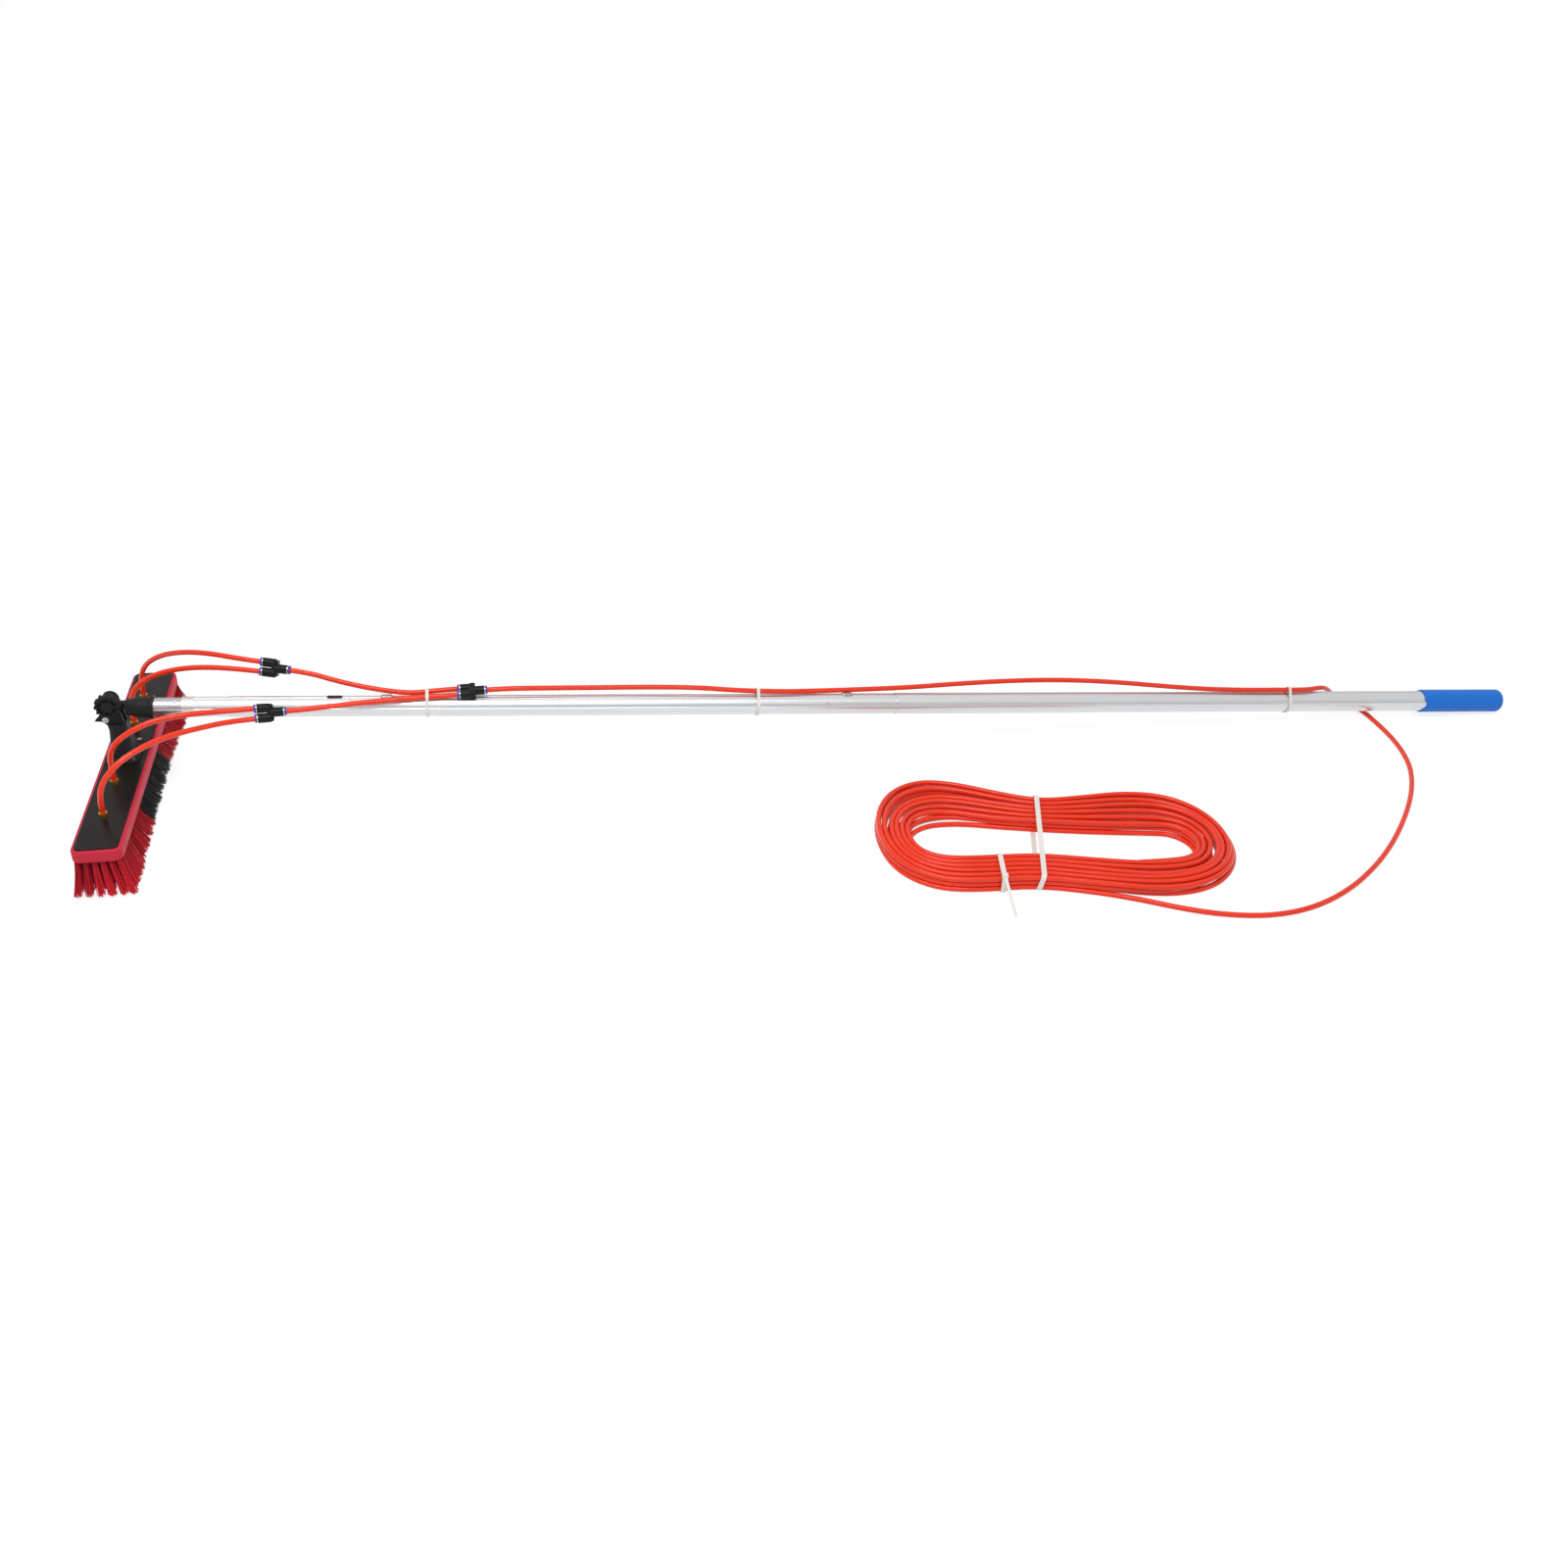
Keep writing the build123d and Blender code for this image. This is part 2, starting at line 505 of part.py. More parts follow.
def knob_nut():
    face = EAR_OUTER + SIDE_GAP
    nut = hexagon(NUT_FLATS, -face - NUT_HEIGHT, -face, "Y")
    nut -= rod(-face - NUT_HEIGHT - 1, -face + 1, PIN_HOLE, "Y")
    return Pos(PIVOT_X, 0, PIVOT_Z) * nut


# ================================================================ socket arm, adapter and tubes
def socket_arm():
    """Hub on the pivot and a flared socket that grips the adapter's sleeve."""
    hub = Pos(PIVOT_S, 0, PIVOT_N) * rod(-HUB_WIDTH / 2, HUB_WIDTH / 2, HUB_RADIUS, "Y")
    neck_start, neck_radius = SOCKET_PROFILE[0]
    web_top = -POLE_BELOW_DATUM + neck_radius - 2
    web_low = PIVOT_N - HUB_RADIUS + 0.5
    arm = hub + slab((PIVOT_S, neck_start + 8), (-HUB_WIDTH / 2, HUB_WIDTH / 2), (web_low, web_top))
    up = (Align.CENTER, Align.CENTER, Align.MIN)
    for (start, first), (end, second) in zip(SOCKET_PROFILE, SOCKET_PROFILE[1:]):
        length = end - start
        piece = Cone(first, second, length, align=up) if first != second else Cylinder(first, length, align=up)
        arm += Location((start, 0, -POLE_BELOW_DATUM), (0, 90, 0)) * piece
    bore = Pos(0, 0, -POLE_BELOW_DATUM) * rod(SLEEVE_START, SOCKET_END + 1, SLEEVE_RADIUS + FIT_GAP)
    arm -= bore
    arm -= Pos(PIVOT_S, 0, PIVOT_N) * rod(-HUB_WIDTH, HUB_WIDTH, PIN_HOLE, "Y")
    return POLE * arm


def around(s, angle, shape):
    """Stand a shape drawn along Z from the tubes' axis at s, turned by angle up from the near side."""
    return Location((s, 0, 0), (0, 0, 0)) * Rot(90 - angle, 0, 0) * shape


def adapter_sleeve():
    sleeve = rod(SLEEVE_START, SLEEVE_END + SLEEVE_TAIL, SLEEVE_RADIUS)
    sleeve -= rod(SLEEVE_START - 1, SLEEVE_END + SLEEVE_TAIL + 1, SLEEVE_RADIUS - SLEEVE_WALL)
    sleeve -= around(RIVET_AT, RIVET_ANGLE, rod(0, 20, RIVET_SHANK_RADIUS + FIT_GAP, "Z"))
    return on_axis(sleeve)


def sleeve_rivet():
    """Blind rivet: shank through the sleeve's wall, low head outside with a hole in it."""
    rivet = rod(SLEEVE_RADIUS - SLEEVE_WALL - 1.5, SLEEVE_RADIUS + 1.0, RIVET_SHANK_RADIUS, "Z")
    head = rod(SLEEVE_RADIUS - 0.5, SLEEVE_RADIUS + 1.0, RIVET_HEAD_RADIUS, "Z")
    head -= rod(-RIVET_HEAD_RADIUS - 1, RIVET_HEAD_RADIUS + 1, SLEEVE_RADIUS + FIT_GAP / 2)
    rivet += head
    rivet -= rod(SLEEVE_RADIUS - 0.5, SLEEVE_RADIUS + 2, RIVET_SHANK_RADIUS / 2, "Z")
    return on_axis(around(RIVET_AT, RIVET_ANGLE, rivet))


def adapter_collar():
    """Bush between sleeve and first tube: a crimped band that shows and a plug inside the tube."""
    band_radius = TUBE_A_RADIUS + COLLAR_PROUD
    collar = rod(SLEEVE_END, COLLAR_END, band_radius)
    for s in (SLEEVE_END + COLLAR_LENGTH / 3, SLEEVE_END + 2 * COLLAR_LENGTH / 3):
        groove = rod(s - 0.8, s + 0.8, band_radius + 1) - rod(s - 1, s + 1, band_radius - 0.5)
        collar -= groove
    collar += rod(COLLAR_END, COLLAR_END + COLLAR_PLUG_LENGTH, TUBE_A_RADIUS - TUBE_WALL - FIT_GAP)
    collar -= rod(SLEEVE_END - 1, COLLAR_END + COLLAR_PLUG_LENGTH + 1, SLEEVE_RADIUS + FIT_GAP)
    return on_axis(collar)


def fluted_tube(start, end, radius):
    """Thin-walled tube with fine flat-bottomed grooves along it."""
    outline = []
    pitch = 2 * pi / FLUTES
    for flute in range(FLUTES):
        for share, depth in ((0.0, 0.0), (0.5, 0.0), (0.6, FLUTE_DEPTH), (0.9, FLUTE_DEPTH)):
            angle = (flute + share) * pitch
            outline.append(((radius - depth) * cos(angle), (radius - depth) * sin(angle)))
    bore = RegularPolygon(radius - TUBE_WALL, BORE_SIDES, major_radius=False)
    ring = make_face(Polyline(*outline, close=True)) - bore
    return Location((start, 0, 0), (0, 90, 0)) * extrude(ring, end - start)


def oblong(length, width, low, high):
    """An oblong bar standing along Z, long in X."""
    return Pos(0, 0, low) * extrude(SlotOverall(length, width), high - low)


def tube_a():
    tube = fluted_tube(COLLAR_END, TUBE_A_END, TUBE_A_RADIUS)
    hole = oblong(LOCK_LENGTH + 2 * BUTTON_GAP, LOCK_WIDTH + 2 * BUTTON_GAP, 0, TUBE_D_RADIUS + 5)
    return on_axis(tube - Pos(LOCK_AT, 0, 0) * hole)


def tube_b():
    tube = fluted_tube(TUBE_B_START, TUBE_B_END, TUBE_B_RADIUS)
    lock_hole = oblong(LOCK_LENGTH + 2 * BUTTON_GAP, LOCK_WIDTH + 2 * BUTTON_GAP, 0, TUBE_D_RADIUS + 5)
    snap_hole = oblong(SNAP_LENGTH + 2 * BUTTON_GAP, SNAP_WIDTH + 2 * BUTTON_GAP, 0, TUBE_D_RADIUS + 5)
    tube -= Pos(LOCK_AT, 0, 0) * lock_hole
    tube -= Pos(SNAP_B_AT, 0, 0) * snap_hole
    return on_axis(tube)


def tube_c():
    tube = fluted_tube(TUBE_C_START, TUBE_C_END, TUBE_C_RADIUS)
    snap_hole = oblong(SNAP_LENGTH + 2 * BUTTON_GAP, SNAP_WIDTH + 2 * BUTTON_GAP, 0, TUBE_D_RADIUS + 5)
    tube -= Pos(SNAP_C_AT, 0, 0) * snap_hole
    tube -= around(STOP_RIVET_AT, STOP_RIVET_ANGLE, rod(0, TUBE_D_RADIUS, STOP_RIVET_RADIUS + FIT_GAP, "Z"))
    return on_axis(tube)


def tube_d():
    return on_axis(fluted_tube(TUBE_D_START, GRIP_END - GRIP_END_WALL - FIT_GAP, TUBE_D_RADIUS))


def stop_rivet():
    """Flush rivet in the wall of the third tube."""
    rivet = rod(TUBE_C_RADIUS - TUBE_WALL, TUBE_C_RADIUS + 0.5, STOP_RIVET_RADIUS, "Z")
    return on_axis(around(STOP_RIVET_AT, STOP_RIVET_ANGLE, rivet))


def button(at, length, width, tube_radius, proud):
    """Oblong button with a flange that stops it under the tube's wall."""
    wall_inside = tube_radius - TUBE_WALL
    flange_half = width / 2 + BUTTON_FLANGE
    flange_top = sqrt(wall_inside ** 2 - flange_half ** 2) - FLANGE_DROP
    low = flange_top - BUTTON_FLANGE_THICKNESS
    shape = oblong(length, width, low, tube_radius + proud)
    shape = fillet(shape.faces().sort_by(Axis.Z)[-1].edges(), min(proud, width / 2) * 0.6)
    shape += oblong(length + 2 * BUTTON_FLANGE, 2 * flange_half, low, flange_top)
    return on_axis(Pos(at, 0, 0) * shape), low


def leaf_spring(at, tube_radius, button_low):
    """V of strip steel: its upper leg lifts the button, its lower leg stands on the far wall."""
    half = SPRING_WIDTH / 2
    floor = -sqrt((tube_radius - TUBE_WALL) ** 2 - half ** 2) + 0.1
    top = button_low - 0.1
    t = SPRING_THICKNESS
    outline = Polyline(
        (-8, top - t), (-8, top), (6, top), (SPRING_REACH, t), (SPRING_REACH, -t), (0, floor), (-8, floor),
        (-8, floor + t), (0, floor + t), (SPRING_REACH - 2 * t, 0), (6, top - t), close=True,
    )
    strip = extrude(Plane.XZ * make_face(outline), half, both=True)
    return on_axis(Pos(at, 0, 0) * strip)


def grip():
    """Moulded grip with a rounded butt and a scalloped mouth."""
    body = rod(GRIP_START, GRIP_END, GRIP_RADIUS)
    body = fillet(body.faces().sort_by(Axis.X)[-1].edges(), GRIP_EDGE_ROUND)
    body -= rod(GRIP_START - 1, GRIP_END - GRIP_END_WALL, TUBE_D_RADIUS + FIT_GAP)
    scallop = Location((GRIP_START - 12, 0, 0), (90, 0, 0)) * Cylinder(12 + GRIP_LIP_DEPTH, 2 * GRIP_RADIUS + 2)
    body -= scallop
    return on_axis(body)


def butt_plug():
    """Plug that closes the last tube inside the grip."""
    end = GRIP_END - GRIP_END_WALL - FIT_GAP
    return on_axis(rod(end - PLUG_LENGTH, end, TUBE_D_RADIUS - TUBE_WALL - FIT_GAP))


# ================================================================ push-in fittings
def fitting_plane(name):
    """The fitting's own frame: x towards its single port, y towards the first of its two ports."""
    middle, along, towards_first = FITTINGS[name]
    x_dir = Vector(*along).normalized()
    first = Vector(*towards_first)
    y_dir = (first - x_dir * first.dot(x_dir)).normalized()
    return Plane(origin=middle, x_dir=x_dir, z_dir=x_dir.cross(y_dir))


def port_frames(name):
    """Frames of the three ports, each with z pointing out of its mouth: first, second, single."""
    plane = fitting_plane(name)
    frames = []
    for y, way in ((PORT_PITCH / 2, -1), (-PORT_PITCH / 2, -1), (0, 1)):
        origin = plane.from_local_coords((0, y, 0))
        frames.append(Plane(origin=origin, x_dir=plane.z_dir, z_dir=plane.x_dir * way))
    return frames


def port_point(frame, distance):
    """A point on a port's axis, so far out from the middle of the fitting."""
    return tuple(frame.from_local_coords((0, 0, distance)))


def y_body(name):
    plane = fitting_plane(name)
    wide = PORT_PITCH + 1.5 * PORT_RADIUS
    crotch = extrude(RectangleRounded(CROTCH_LENGTH, wide, 3), PORT_RADIUS * 0.86, both=True)
    body = plane * crotch
    for frame in port_frames(name):
        body += frame * rod(0, PORT_MOUTH, PORT_RADIUS, "Z")
    for frame in port_frames(name):
        body -= frame * rod(PORT_MOUTH - COLLAR_DEPTH - COLLAR_TRAVEL - 1, PORT_MOUTH + 1, COLLAR_TUBE_RADIUS + 0.1, "Z")
        body -= frame * rod(HOSE_STOP, PORT_MOUTH, HOSE_RADIUS + HOSE_GAP, "Z")
        body -= frame * rod(SEAL_AT, SEAL_AT + SEAL_WIDTH + 0.2, SEAL_RADIUS + 0.1, "Z")
        body -= frame * rod(-1, PORT_MOUTH, HOSE_BORE_RADIUS, "Z")
    body -= plane * slab((-2.5, 2.5), (-PORT_PITCH / 2, PORT_PITCH / 2), (-2.5, 2.5))
    return body


def port_ring(frame):
    ring = rod(PORT_MOUTH, PORT_MOUTH + PORT_RING_LENGTH, PORT_RADIUS, "Z")
    ring -= rod(PORT_MOUTH - 1, PORT_MOUTH + PORT_RING_LENGTH + 1, PORT_RADIUS - PORT_RING_WALL, "Z")
    return (frame * ring).solids()[0]


def tube_seal(frame):
    seal = rod(SEAL_AT + 0.1, SEAL_AT + 0.1 + SEAL_WIDTH, SEAL_RADIUS, "Z")
    seal -= rod(SEAL_AT, SEAL_AT + 1 + SEAL_WIDTH, HOSE_RADIUS + HOSE_GAP / 2, "Z")
    return (frame * seal).solids()[0]


def release_collar(frame):
    """Collar that frees the hose when it is pushed in: a tube in the port and a flange outside."""
    flange_from = PORT_MOUTH + PORT_RING_LENGTH + COLLAR_TRAVEL + COLLAR_TRAVEL_GAP
    flange_to = flange_from + COLLAR_FLANGE_THICKNESS
    collar = rod(PORT_MOUTH - COLLAR_DEPTH, flange_to, COLLAR_TUBE_RADIUS, "Z")
    collar += rod(flange_from, flange_to, COLLAR_FLANGE_RADIUS, "Z")
    collar -= rod(PORT_MOUTH - COLLAR_DEPTH - 1, flange_to + 1, HOSE_RADIUS + 0.12, "Z")
    return frame * collar


# ================================================================ hoses
def corner_radii(points):
    """For each corner, 0.45 of the shorter run beside it, divided by the tangent of half the turn."""
    runs = [Vector(*b) - Vector(*a) for a, b in zip(points, points[1:])]
    return [
        0.45 * min(a.length, b.length) / tan(radians(a.get_angle(b)) / 2) for a, b in zip(runs, runs[1:])
    ]


def hose(name, points):
    """A hollow hose of straight runs joined by tangent arcs, drawn in the pole's frame and laid down."""
    points = [tuple(float(v) for v in p) for p in points]
    radii = corner_radii(points)
    path = FilletPolyline(*points, radius=radii)
    plane = Plane(origin=path @ 0, z_dir=path % 0)
    section = plane * (Circle(HOSE_RADIUS) - Circle(HOSE_BORE_RADIUS))
    solid = sweep(section, path=path)
    ideal = pi * (HOSE_RADIUS ** 2 - HOSE_BORE_RADIUS ** 2) * path.length
    runs = [(Vector(*b) - Vector(*a)).length for a, b in zip(points, points[1:])]
    print(
        f"{name}: length {path.length:.0f}, volume over section x length {solid.volume / ideal:.4f}, "
        f"tightest radius {min(radii):.0f}, runs {min(runs):.0f} to {max(runs):.0f}"
    )
    save(name, on_axis(solid))


def link_points(start, route, end):
    """From inside one port, along a route, into another port."""
    first = [port_point(start, PORT_INSIDE), port_point(start, PORT_OUTSIDE)]
    return first + route + [port_point(end, PORT_OUTSIDE), port_point(end, PORT_INSIDE)]


def floor_points():
    """The lead's points on the floor, as heights above it."""
    return [(x, y, HOSE_RADIUS + FLOOR_GAP + rise) for x, y, rise in LEAD_ON_FLOOR]


def all_hoses():
    rear, front, joining = (port_frames(n) for n in ("rear_y", "front_y", "joining_y"))
    ends = [rear[0], rear[1], front[0], front[1]]
    for (name, route), y, port in zip(BRANCH_ROUTES.items(), BARBS_Y, ends):
        hex_top = PANEL_TOP + BARB_HEX_HEIGHT
        foot = [to_tube_axis(BARB_X, y, z) for z in (hex_top + FLOOR_GAP, PANEL_TOP + BRANCH_RISE)]
        hose(name, foot + route + [port_point(port, PORT_OUTSIDE), port_point(port, PORT_INSIDE)])
    hose("link_hose_rear", link_points(rear[2], LINK_REAR_ROUTE, joining[0]))
    hose("link_hose_front", link_points(front[2], LINK_FRONT_ROUTE, joining[1]))
    start = [port_point(joining[2], PORT_INSIDE), port_point(joining[2], PORT_OUTSIDE)]
    hose("feed_hose_upper", start + UPPER_FEED_ROUTE)
    hose("feed_hose_lower", LOWER_FEED_ROUTE)
    hose("lead_hose", LEAD_START + [to_tube_axis(*p) for p in floor_points()])


# ================================================================ cable ties
def pole_tie(s, tube_radius, hoses):
    """A strap round the tube and the hoses beside it at (y, n), with its locking head on the far side."""
    rounds = [(0.0, 0.0, tube_radius)] + [(y, n, HOSE_RADIUS) for y, n in hoses]
    inner = make_hull([(Pos(y, n) * Circle(r + TIE_GAP)).edge() for y, n, r in rounds])
    outer = make_hull([(Pos(y, n) * Circle(r + TIE_GAP + TIE_THICKNESS)).edge() for y, n, r in rounds])
    strap = Pos(s, 0, 0) * (Plane.YZ * extrude(make_face(outer), TIE_WIDTH / 2, both=True))
    room = Pos(s, 0, 0) * (Plane.YZ * extrude(make_face(inner), TIE_WIDTH, both=True))
    angle = radians(TIE_HEAD_ANGLE)
    reach = tube_radius + TIE_GAP + TIE_THICKNESS * 0.6 + TIE_HEAD[2] / 2
    place = Location((s, reach * cos(angle), reach * sin(angle)), (TIE_HEAD_ANGLE - 90, 0, 0))
    return on_axis(strap + place * Box(TIE_HEAD[1], TIE_HEAD[0], TIE_HEAD[2]) - room)


def floor_tie(far, near, lean):
    """A strap round hose on the floor, in a plane through two points that leans from upright."""
    dx, dy = far[0] - near[0], far[1] - near[1]
    span = hypot(dx, dy)
    height = (HANK_TOP - HANK_BOTTOM + 2 * TIE_GAP) / cos(radians(lean))
    inner = Pos(span / 2, 0) * RectangleRounded(span, height, HANK_TIE_CORNER)
    outer = Pos(span / 2, 0) * RectangleRounded(
        span + 2 * TIE_THICKNESS, height + 2 * TIE_THICKNESS, HANK_TIE_CORNER + TIE_THICKNESS
    )
    up = Vector(sin(radians(lean)), 0, cos(radians(lean)))
    along = Vector(dx, dy, 0).normalized()
    plane = Plane(origin=(near[0], near[1], (HANK_TOP + HANK_BOTTOM) / 2), x_dir=along, z_dir=along.cross(up))
    across = Vector(0, 0, 1).cross(along)
    return plane, across, extrude(plane * (outer - inner), FLOOR_TIE_WIDTH / 2, dir=across, both=True)


def hank_tie():
    """The strap across the whole hank, with its locking head low on the far side."""
    plane, across, strap = floor_tie(HANK_TIE_FAR, HANK_TIE_NEAR, HANK_TIE_LEAN)
    span = hypot(HANK_TIE_FAR[0] - HANK_TIE_NEAR[0], HANK_TIE_FAR[1] - HANK_TIE_NEAR[1])
    place = plane.from_local_coords((span + TIE_THICKNESS * 0.4 + TIE_HEAD[2] / 2, 0, 0))
    head = Plane(origin=place, x_dir=plane.x_dir, z_dir=across) * Box(TIE_HEAD[2], TIE_HEAD[1], TIE_HEAD[0])
    return strap + head


def run_tie():
    """The strap round the hank's near run, with its locking head on top and a tail down to the floor."""
    plane, across, strap = floor_tie(RUN_TIE_FAR, RUN_TIE_NEAR, 0)
    span = hypot(RUN_TIE_FAR[0] - RUN_TIE_NEAR[0], RUN_TIE_FAR[1] - RUN_TIE_NEAR[1])
    top = (HANK_TOP - HANK_BOTTOM) / 2 + TIE_GAP + TIE_THICKNESS
    place = plane.from_local_coords((RUN_TIE_HEAD_AT * span, top + TIE_HEAD[2] / 2 - TIE_THICKNESS * 0.6, 0))
    head = Plane(origin=place, x_dir=plane.x_dir, z_dir=across) * Box(TIE_HEAD[1], TIE_HEAD[2], TIE_HEAD[0])
    end = Vector(*RUN_TIE_TAIL_TO, TIE_THICKNESS)
    way = end - place
    level = Vector(0, 0, 1).cross(way).normalized()
    strip = Plane(origin=place + way / 2, x_dir=way, z_dir=level) * Box(way.length, TIE_THICKNESS, TAIL_WIDTH)
    return strap + head + strip


def route_at(points, s):
    """Where a route's runs lie across the pole at a given s: (y, n)."""
    for a, b in zip(points, points[1:]):
        if a[0] <= s <= b[0]:
            share = (s - a[0]) / (b[0] - a[0])
            return tuple(p + share * (q - p) for p, q in zip(a[1:], b[1:]))
    raise ValueError("no run of the route is there")


def hose_hank():
    """The coiled length on the floor: one solid of the outer shape of its turns."""
    outline = make_face(Spline(*HANK_OUTLINE, periodic=True))
    hole = make_face(Spline(*HANK_HOLE, periodic=True))
    hank = Pos(0, 0, HANK_BOTTOM) * extrude(outline - hole, HANK_TOP - HANK_BOTTOM)
    flats = hank.faces().sort_by(Axis.Z)
    hank = fillet(flats[0].edges() + flats[-1].edges(), HANK_EDGE_ROUND)
    outside, inside = (Vector(*p) for p in floor_points()[-2:])
    start = inside + (outside - inside) * LEAD_IN_HANK
    way = inside - start
    entry = Plane(origin=start, z_dir=way) * rod(0, way.length + 0.2, HOSE_RADIUS + LEAD_IN_HANK_GAP, "Z")
    return hank - entry


# ================================================================ make everything
save("brush_block", brush_block())
save("top_panel", top_panel())
red, black = bristles()
save("red_bristles", red)
save("black_bristles", black)
save("hose_barbs", Compound(children=[hose_barb(y).solids()[0] for y in BARBS_Y]))
save("spray_jets", Compound(children=[spray_jet(y).solids()[0] for y in BARBS_Y]))
save("swivel_foot", swivel_foot())
save("foot_screws", foot_screws())
save("lug_screw", lug_screw())
save("pivot_bolt", pivot_bolt())
save("tilt_washers", tilt_washers())
save("clamp_knob", clamp_knob())
save("knob_nut", knob_nut())

save("socket_arm", socket_arm())
save("adapter_sleeve", adapter_sleeve())
save("sleeve_rivet", sleeve_rivet())
save("adapter_collar", adapter_collar())
save("tube_a", tube_a())
save("tube_b", tube_b())
save("tube_c", tube_c())
save("tube_d", tube_d())
save("stop_rivet", stop_rivet())
save("grip", grip())
save("butt_plug", butt_plug())

for name, at, length, width, radius, proud in (
    ("lock_button", LOCK_AT, LOCK_LENGTH, LOCK_WIDTH, TUBE_A_RADIUS, LOCK_PROUD + TUBE_STEP / 2),
    ("snap_button_b", SNAP_B_AT, SNAP_LENGTH, SNAP_WIDTH, TUBE_B_RADIUS, SNAP_PROUD),
    ("snap_button_c", SNAP_C_AT, SNAP_LENGTH, SNAP_WIDTH, TUBE_C_RADIUS, SNAP_PROUD),
):
    shape, low = button(at, length, width, radius, proud)
    save(name, shape)
    save(name.replace("button", "spring"), leaf_spring(at, radius, low))

rings, seals = [], []
for name in FITTINGS:
    save(f"{name}_body", on_axis(y_body(name)))
    for number, frame in enumerate(port_frames(name), 1):
        save(f"{name}_collar_{number}", on_axis(release_collar(frame)))
        rings.append(port_ring(frame))
        seals.append(tube_seal(frame))
save("port_rings", on_axis(Compound(children=rings)))
save("tube_seals", on_axis(Compound(children=seals)))

all_hoses()
joining_ports = port_frames("joining_y")
at_tie_1 = [
    route_at(route[-1:] + [port_point(port, PORT_OUTSIDE)], TIE_1_AT)
    for route, port in ((LINK_REAR_ROUTE, joining_ports[0]), (LINK_FRONT_ROUTE, joining_ports[1]))
]
save("pole_tie_1", pole_tie(TIE_1_AT, TUBE_B_RADIUS, at_tie_1))
save("pole_tie_2", pole_tie(TIE_2_AT, TUBE_C_RADIUS, [LOWER_FEED_ROUTE[0][1:]]))
save("pole_tie_3", pole_tie(TIE_3_AT, TUBE_D_RADIUS, [LEAD_START[0][1:]]))
save("hose_hank", hose_hank())
save("hank_tie", hank_tie())
save("run_tie", run_tie())

print(f"pivot ({PIVOT_X:.3f}, 0, {PIVOT_Z:.3f}), slope {degrees(SLOPE):.4f} degrees")
print(f"along the pole ({cos(SLOPE):.6f}, 0, {-sin(SLOPE):.6f}), up ({sin(SLOPE):.6f}, 0, {cos(SLOPE):.6f})")
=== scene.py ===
"""Water-fed window cleaning pole: finishes, bristles, hoses and the tied hose hank.

Run as a script. Sizes are in metres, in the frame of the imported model. Beside the pole, places
are given as (s, y, n) in millimetres: s from a datum by the tilt joint towards the grip, y along the
brush, and n square to the pole, upwards from the axis of its tubes.
"""
import json
import random
from math import cos, hypot, pi, radians, sin

import bmesh
import bpy
from mathutils import Matrix, Vector


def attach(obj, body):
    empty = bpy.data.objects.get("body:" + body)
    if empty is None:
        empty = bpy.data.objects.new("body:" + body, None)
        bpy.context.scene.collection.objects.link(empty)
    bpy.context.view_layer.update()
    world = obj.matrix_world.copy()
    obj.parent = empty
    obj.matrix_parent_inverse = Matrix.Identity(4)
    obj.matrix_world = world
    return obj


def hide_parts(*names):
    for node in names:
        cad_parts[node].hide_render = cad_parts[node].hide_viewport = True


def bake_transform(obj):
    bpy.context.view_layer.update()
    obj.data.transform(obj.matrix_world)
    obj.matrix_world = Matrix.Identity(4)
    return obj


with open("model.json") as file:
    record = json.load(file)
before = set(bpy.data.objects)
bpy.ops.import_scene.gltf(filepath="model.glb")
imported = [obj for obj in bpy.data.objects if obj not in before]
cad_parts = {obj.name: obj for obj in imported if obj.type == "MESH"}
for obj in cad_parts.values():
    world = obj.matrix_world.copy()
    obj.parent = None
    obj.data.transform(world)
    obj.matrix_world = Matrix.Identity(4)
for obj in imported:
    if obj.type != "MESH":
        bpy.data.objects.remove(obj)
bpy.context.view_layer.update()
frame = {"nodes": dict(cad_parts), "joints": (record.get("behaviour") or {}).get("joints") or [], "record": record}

bl_info = {
    "name": "Water-fed window cleaning pole",
    "version": (1, 0, 0),
    "blender": (4, 5, 0),
    "location": "View3D > Sidebar > Pole",
    "description": "Builds the finishes, bristles and hoses of a water-fed window cleaning pole",
    "category": "Object",
}

MM = 0.001
WHITE = (1.0, 1.0, 1.0, 1.0)
JOINTS = {joint["name"]: joint for joint in frame["joints"]}
PIVOT = Vector(JOINTS["head_tilt"]["pos_m"])
ALONG_POLE = -Vector(JOINTS["lower_slide"]["axis"]).normalized()
ACROSS_POLE = Vector((0.0, 1.0, 0.0))
ABOVE_POLE = ALONG_POLE.cross(ACROSS_POLE)
# The tilt joint's pivot beside the pole: s and n.
PIVOT_AT = (5.0, 10.0)

# ---------------------------------------------------------------- places of the hoses, in millimetres
BARB_TOP = 78.1
BARB_X = -3.5
BARBS_Y = (167.9, 83.4, -83.4, -167.9)
BRANCH_RISE = 103.4
PORT_PITCH = 14.6
PORT_INSIDE = 3.8
PORT_OUTSIDE = 47.9
# Height of a hose's middle where it lies on the floor.
HOSE_LIES_AT = 4.1
STRAND_GAP = 0.1
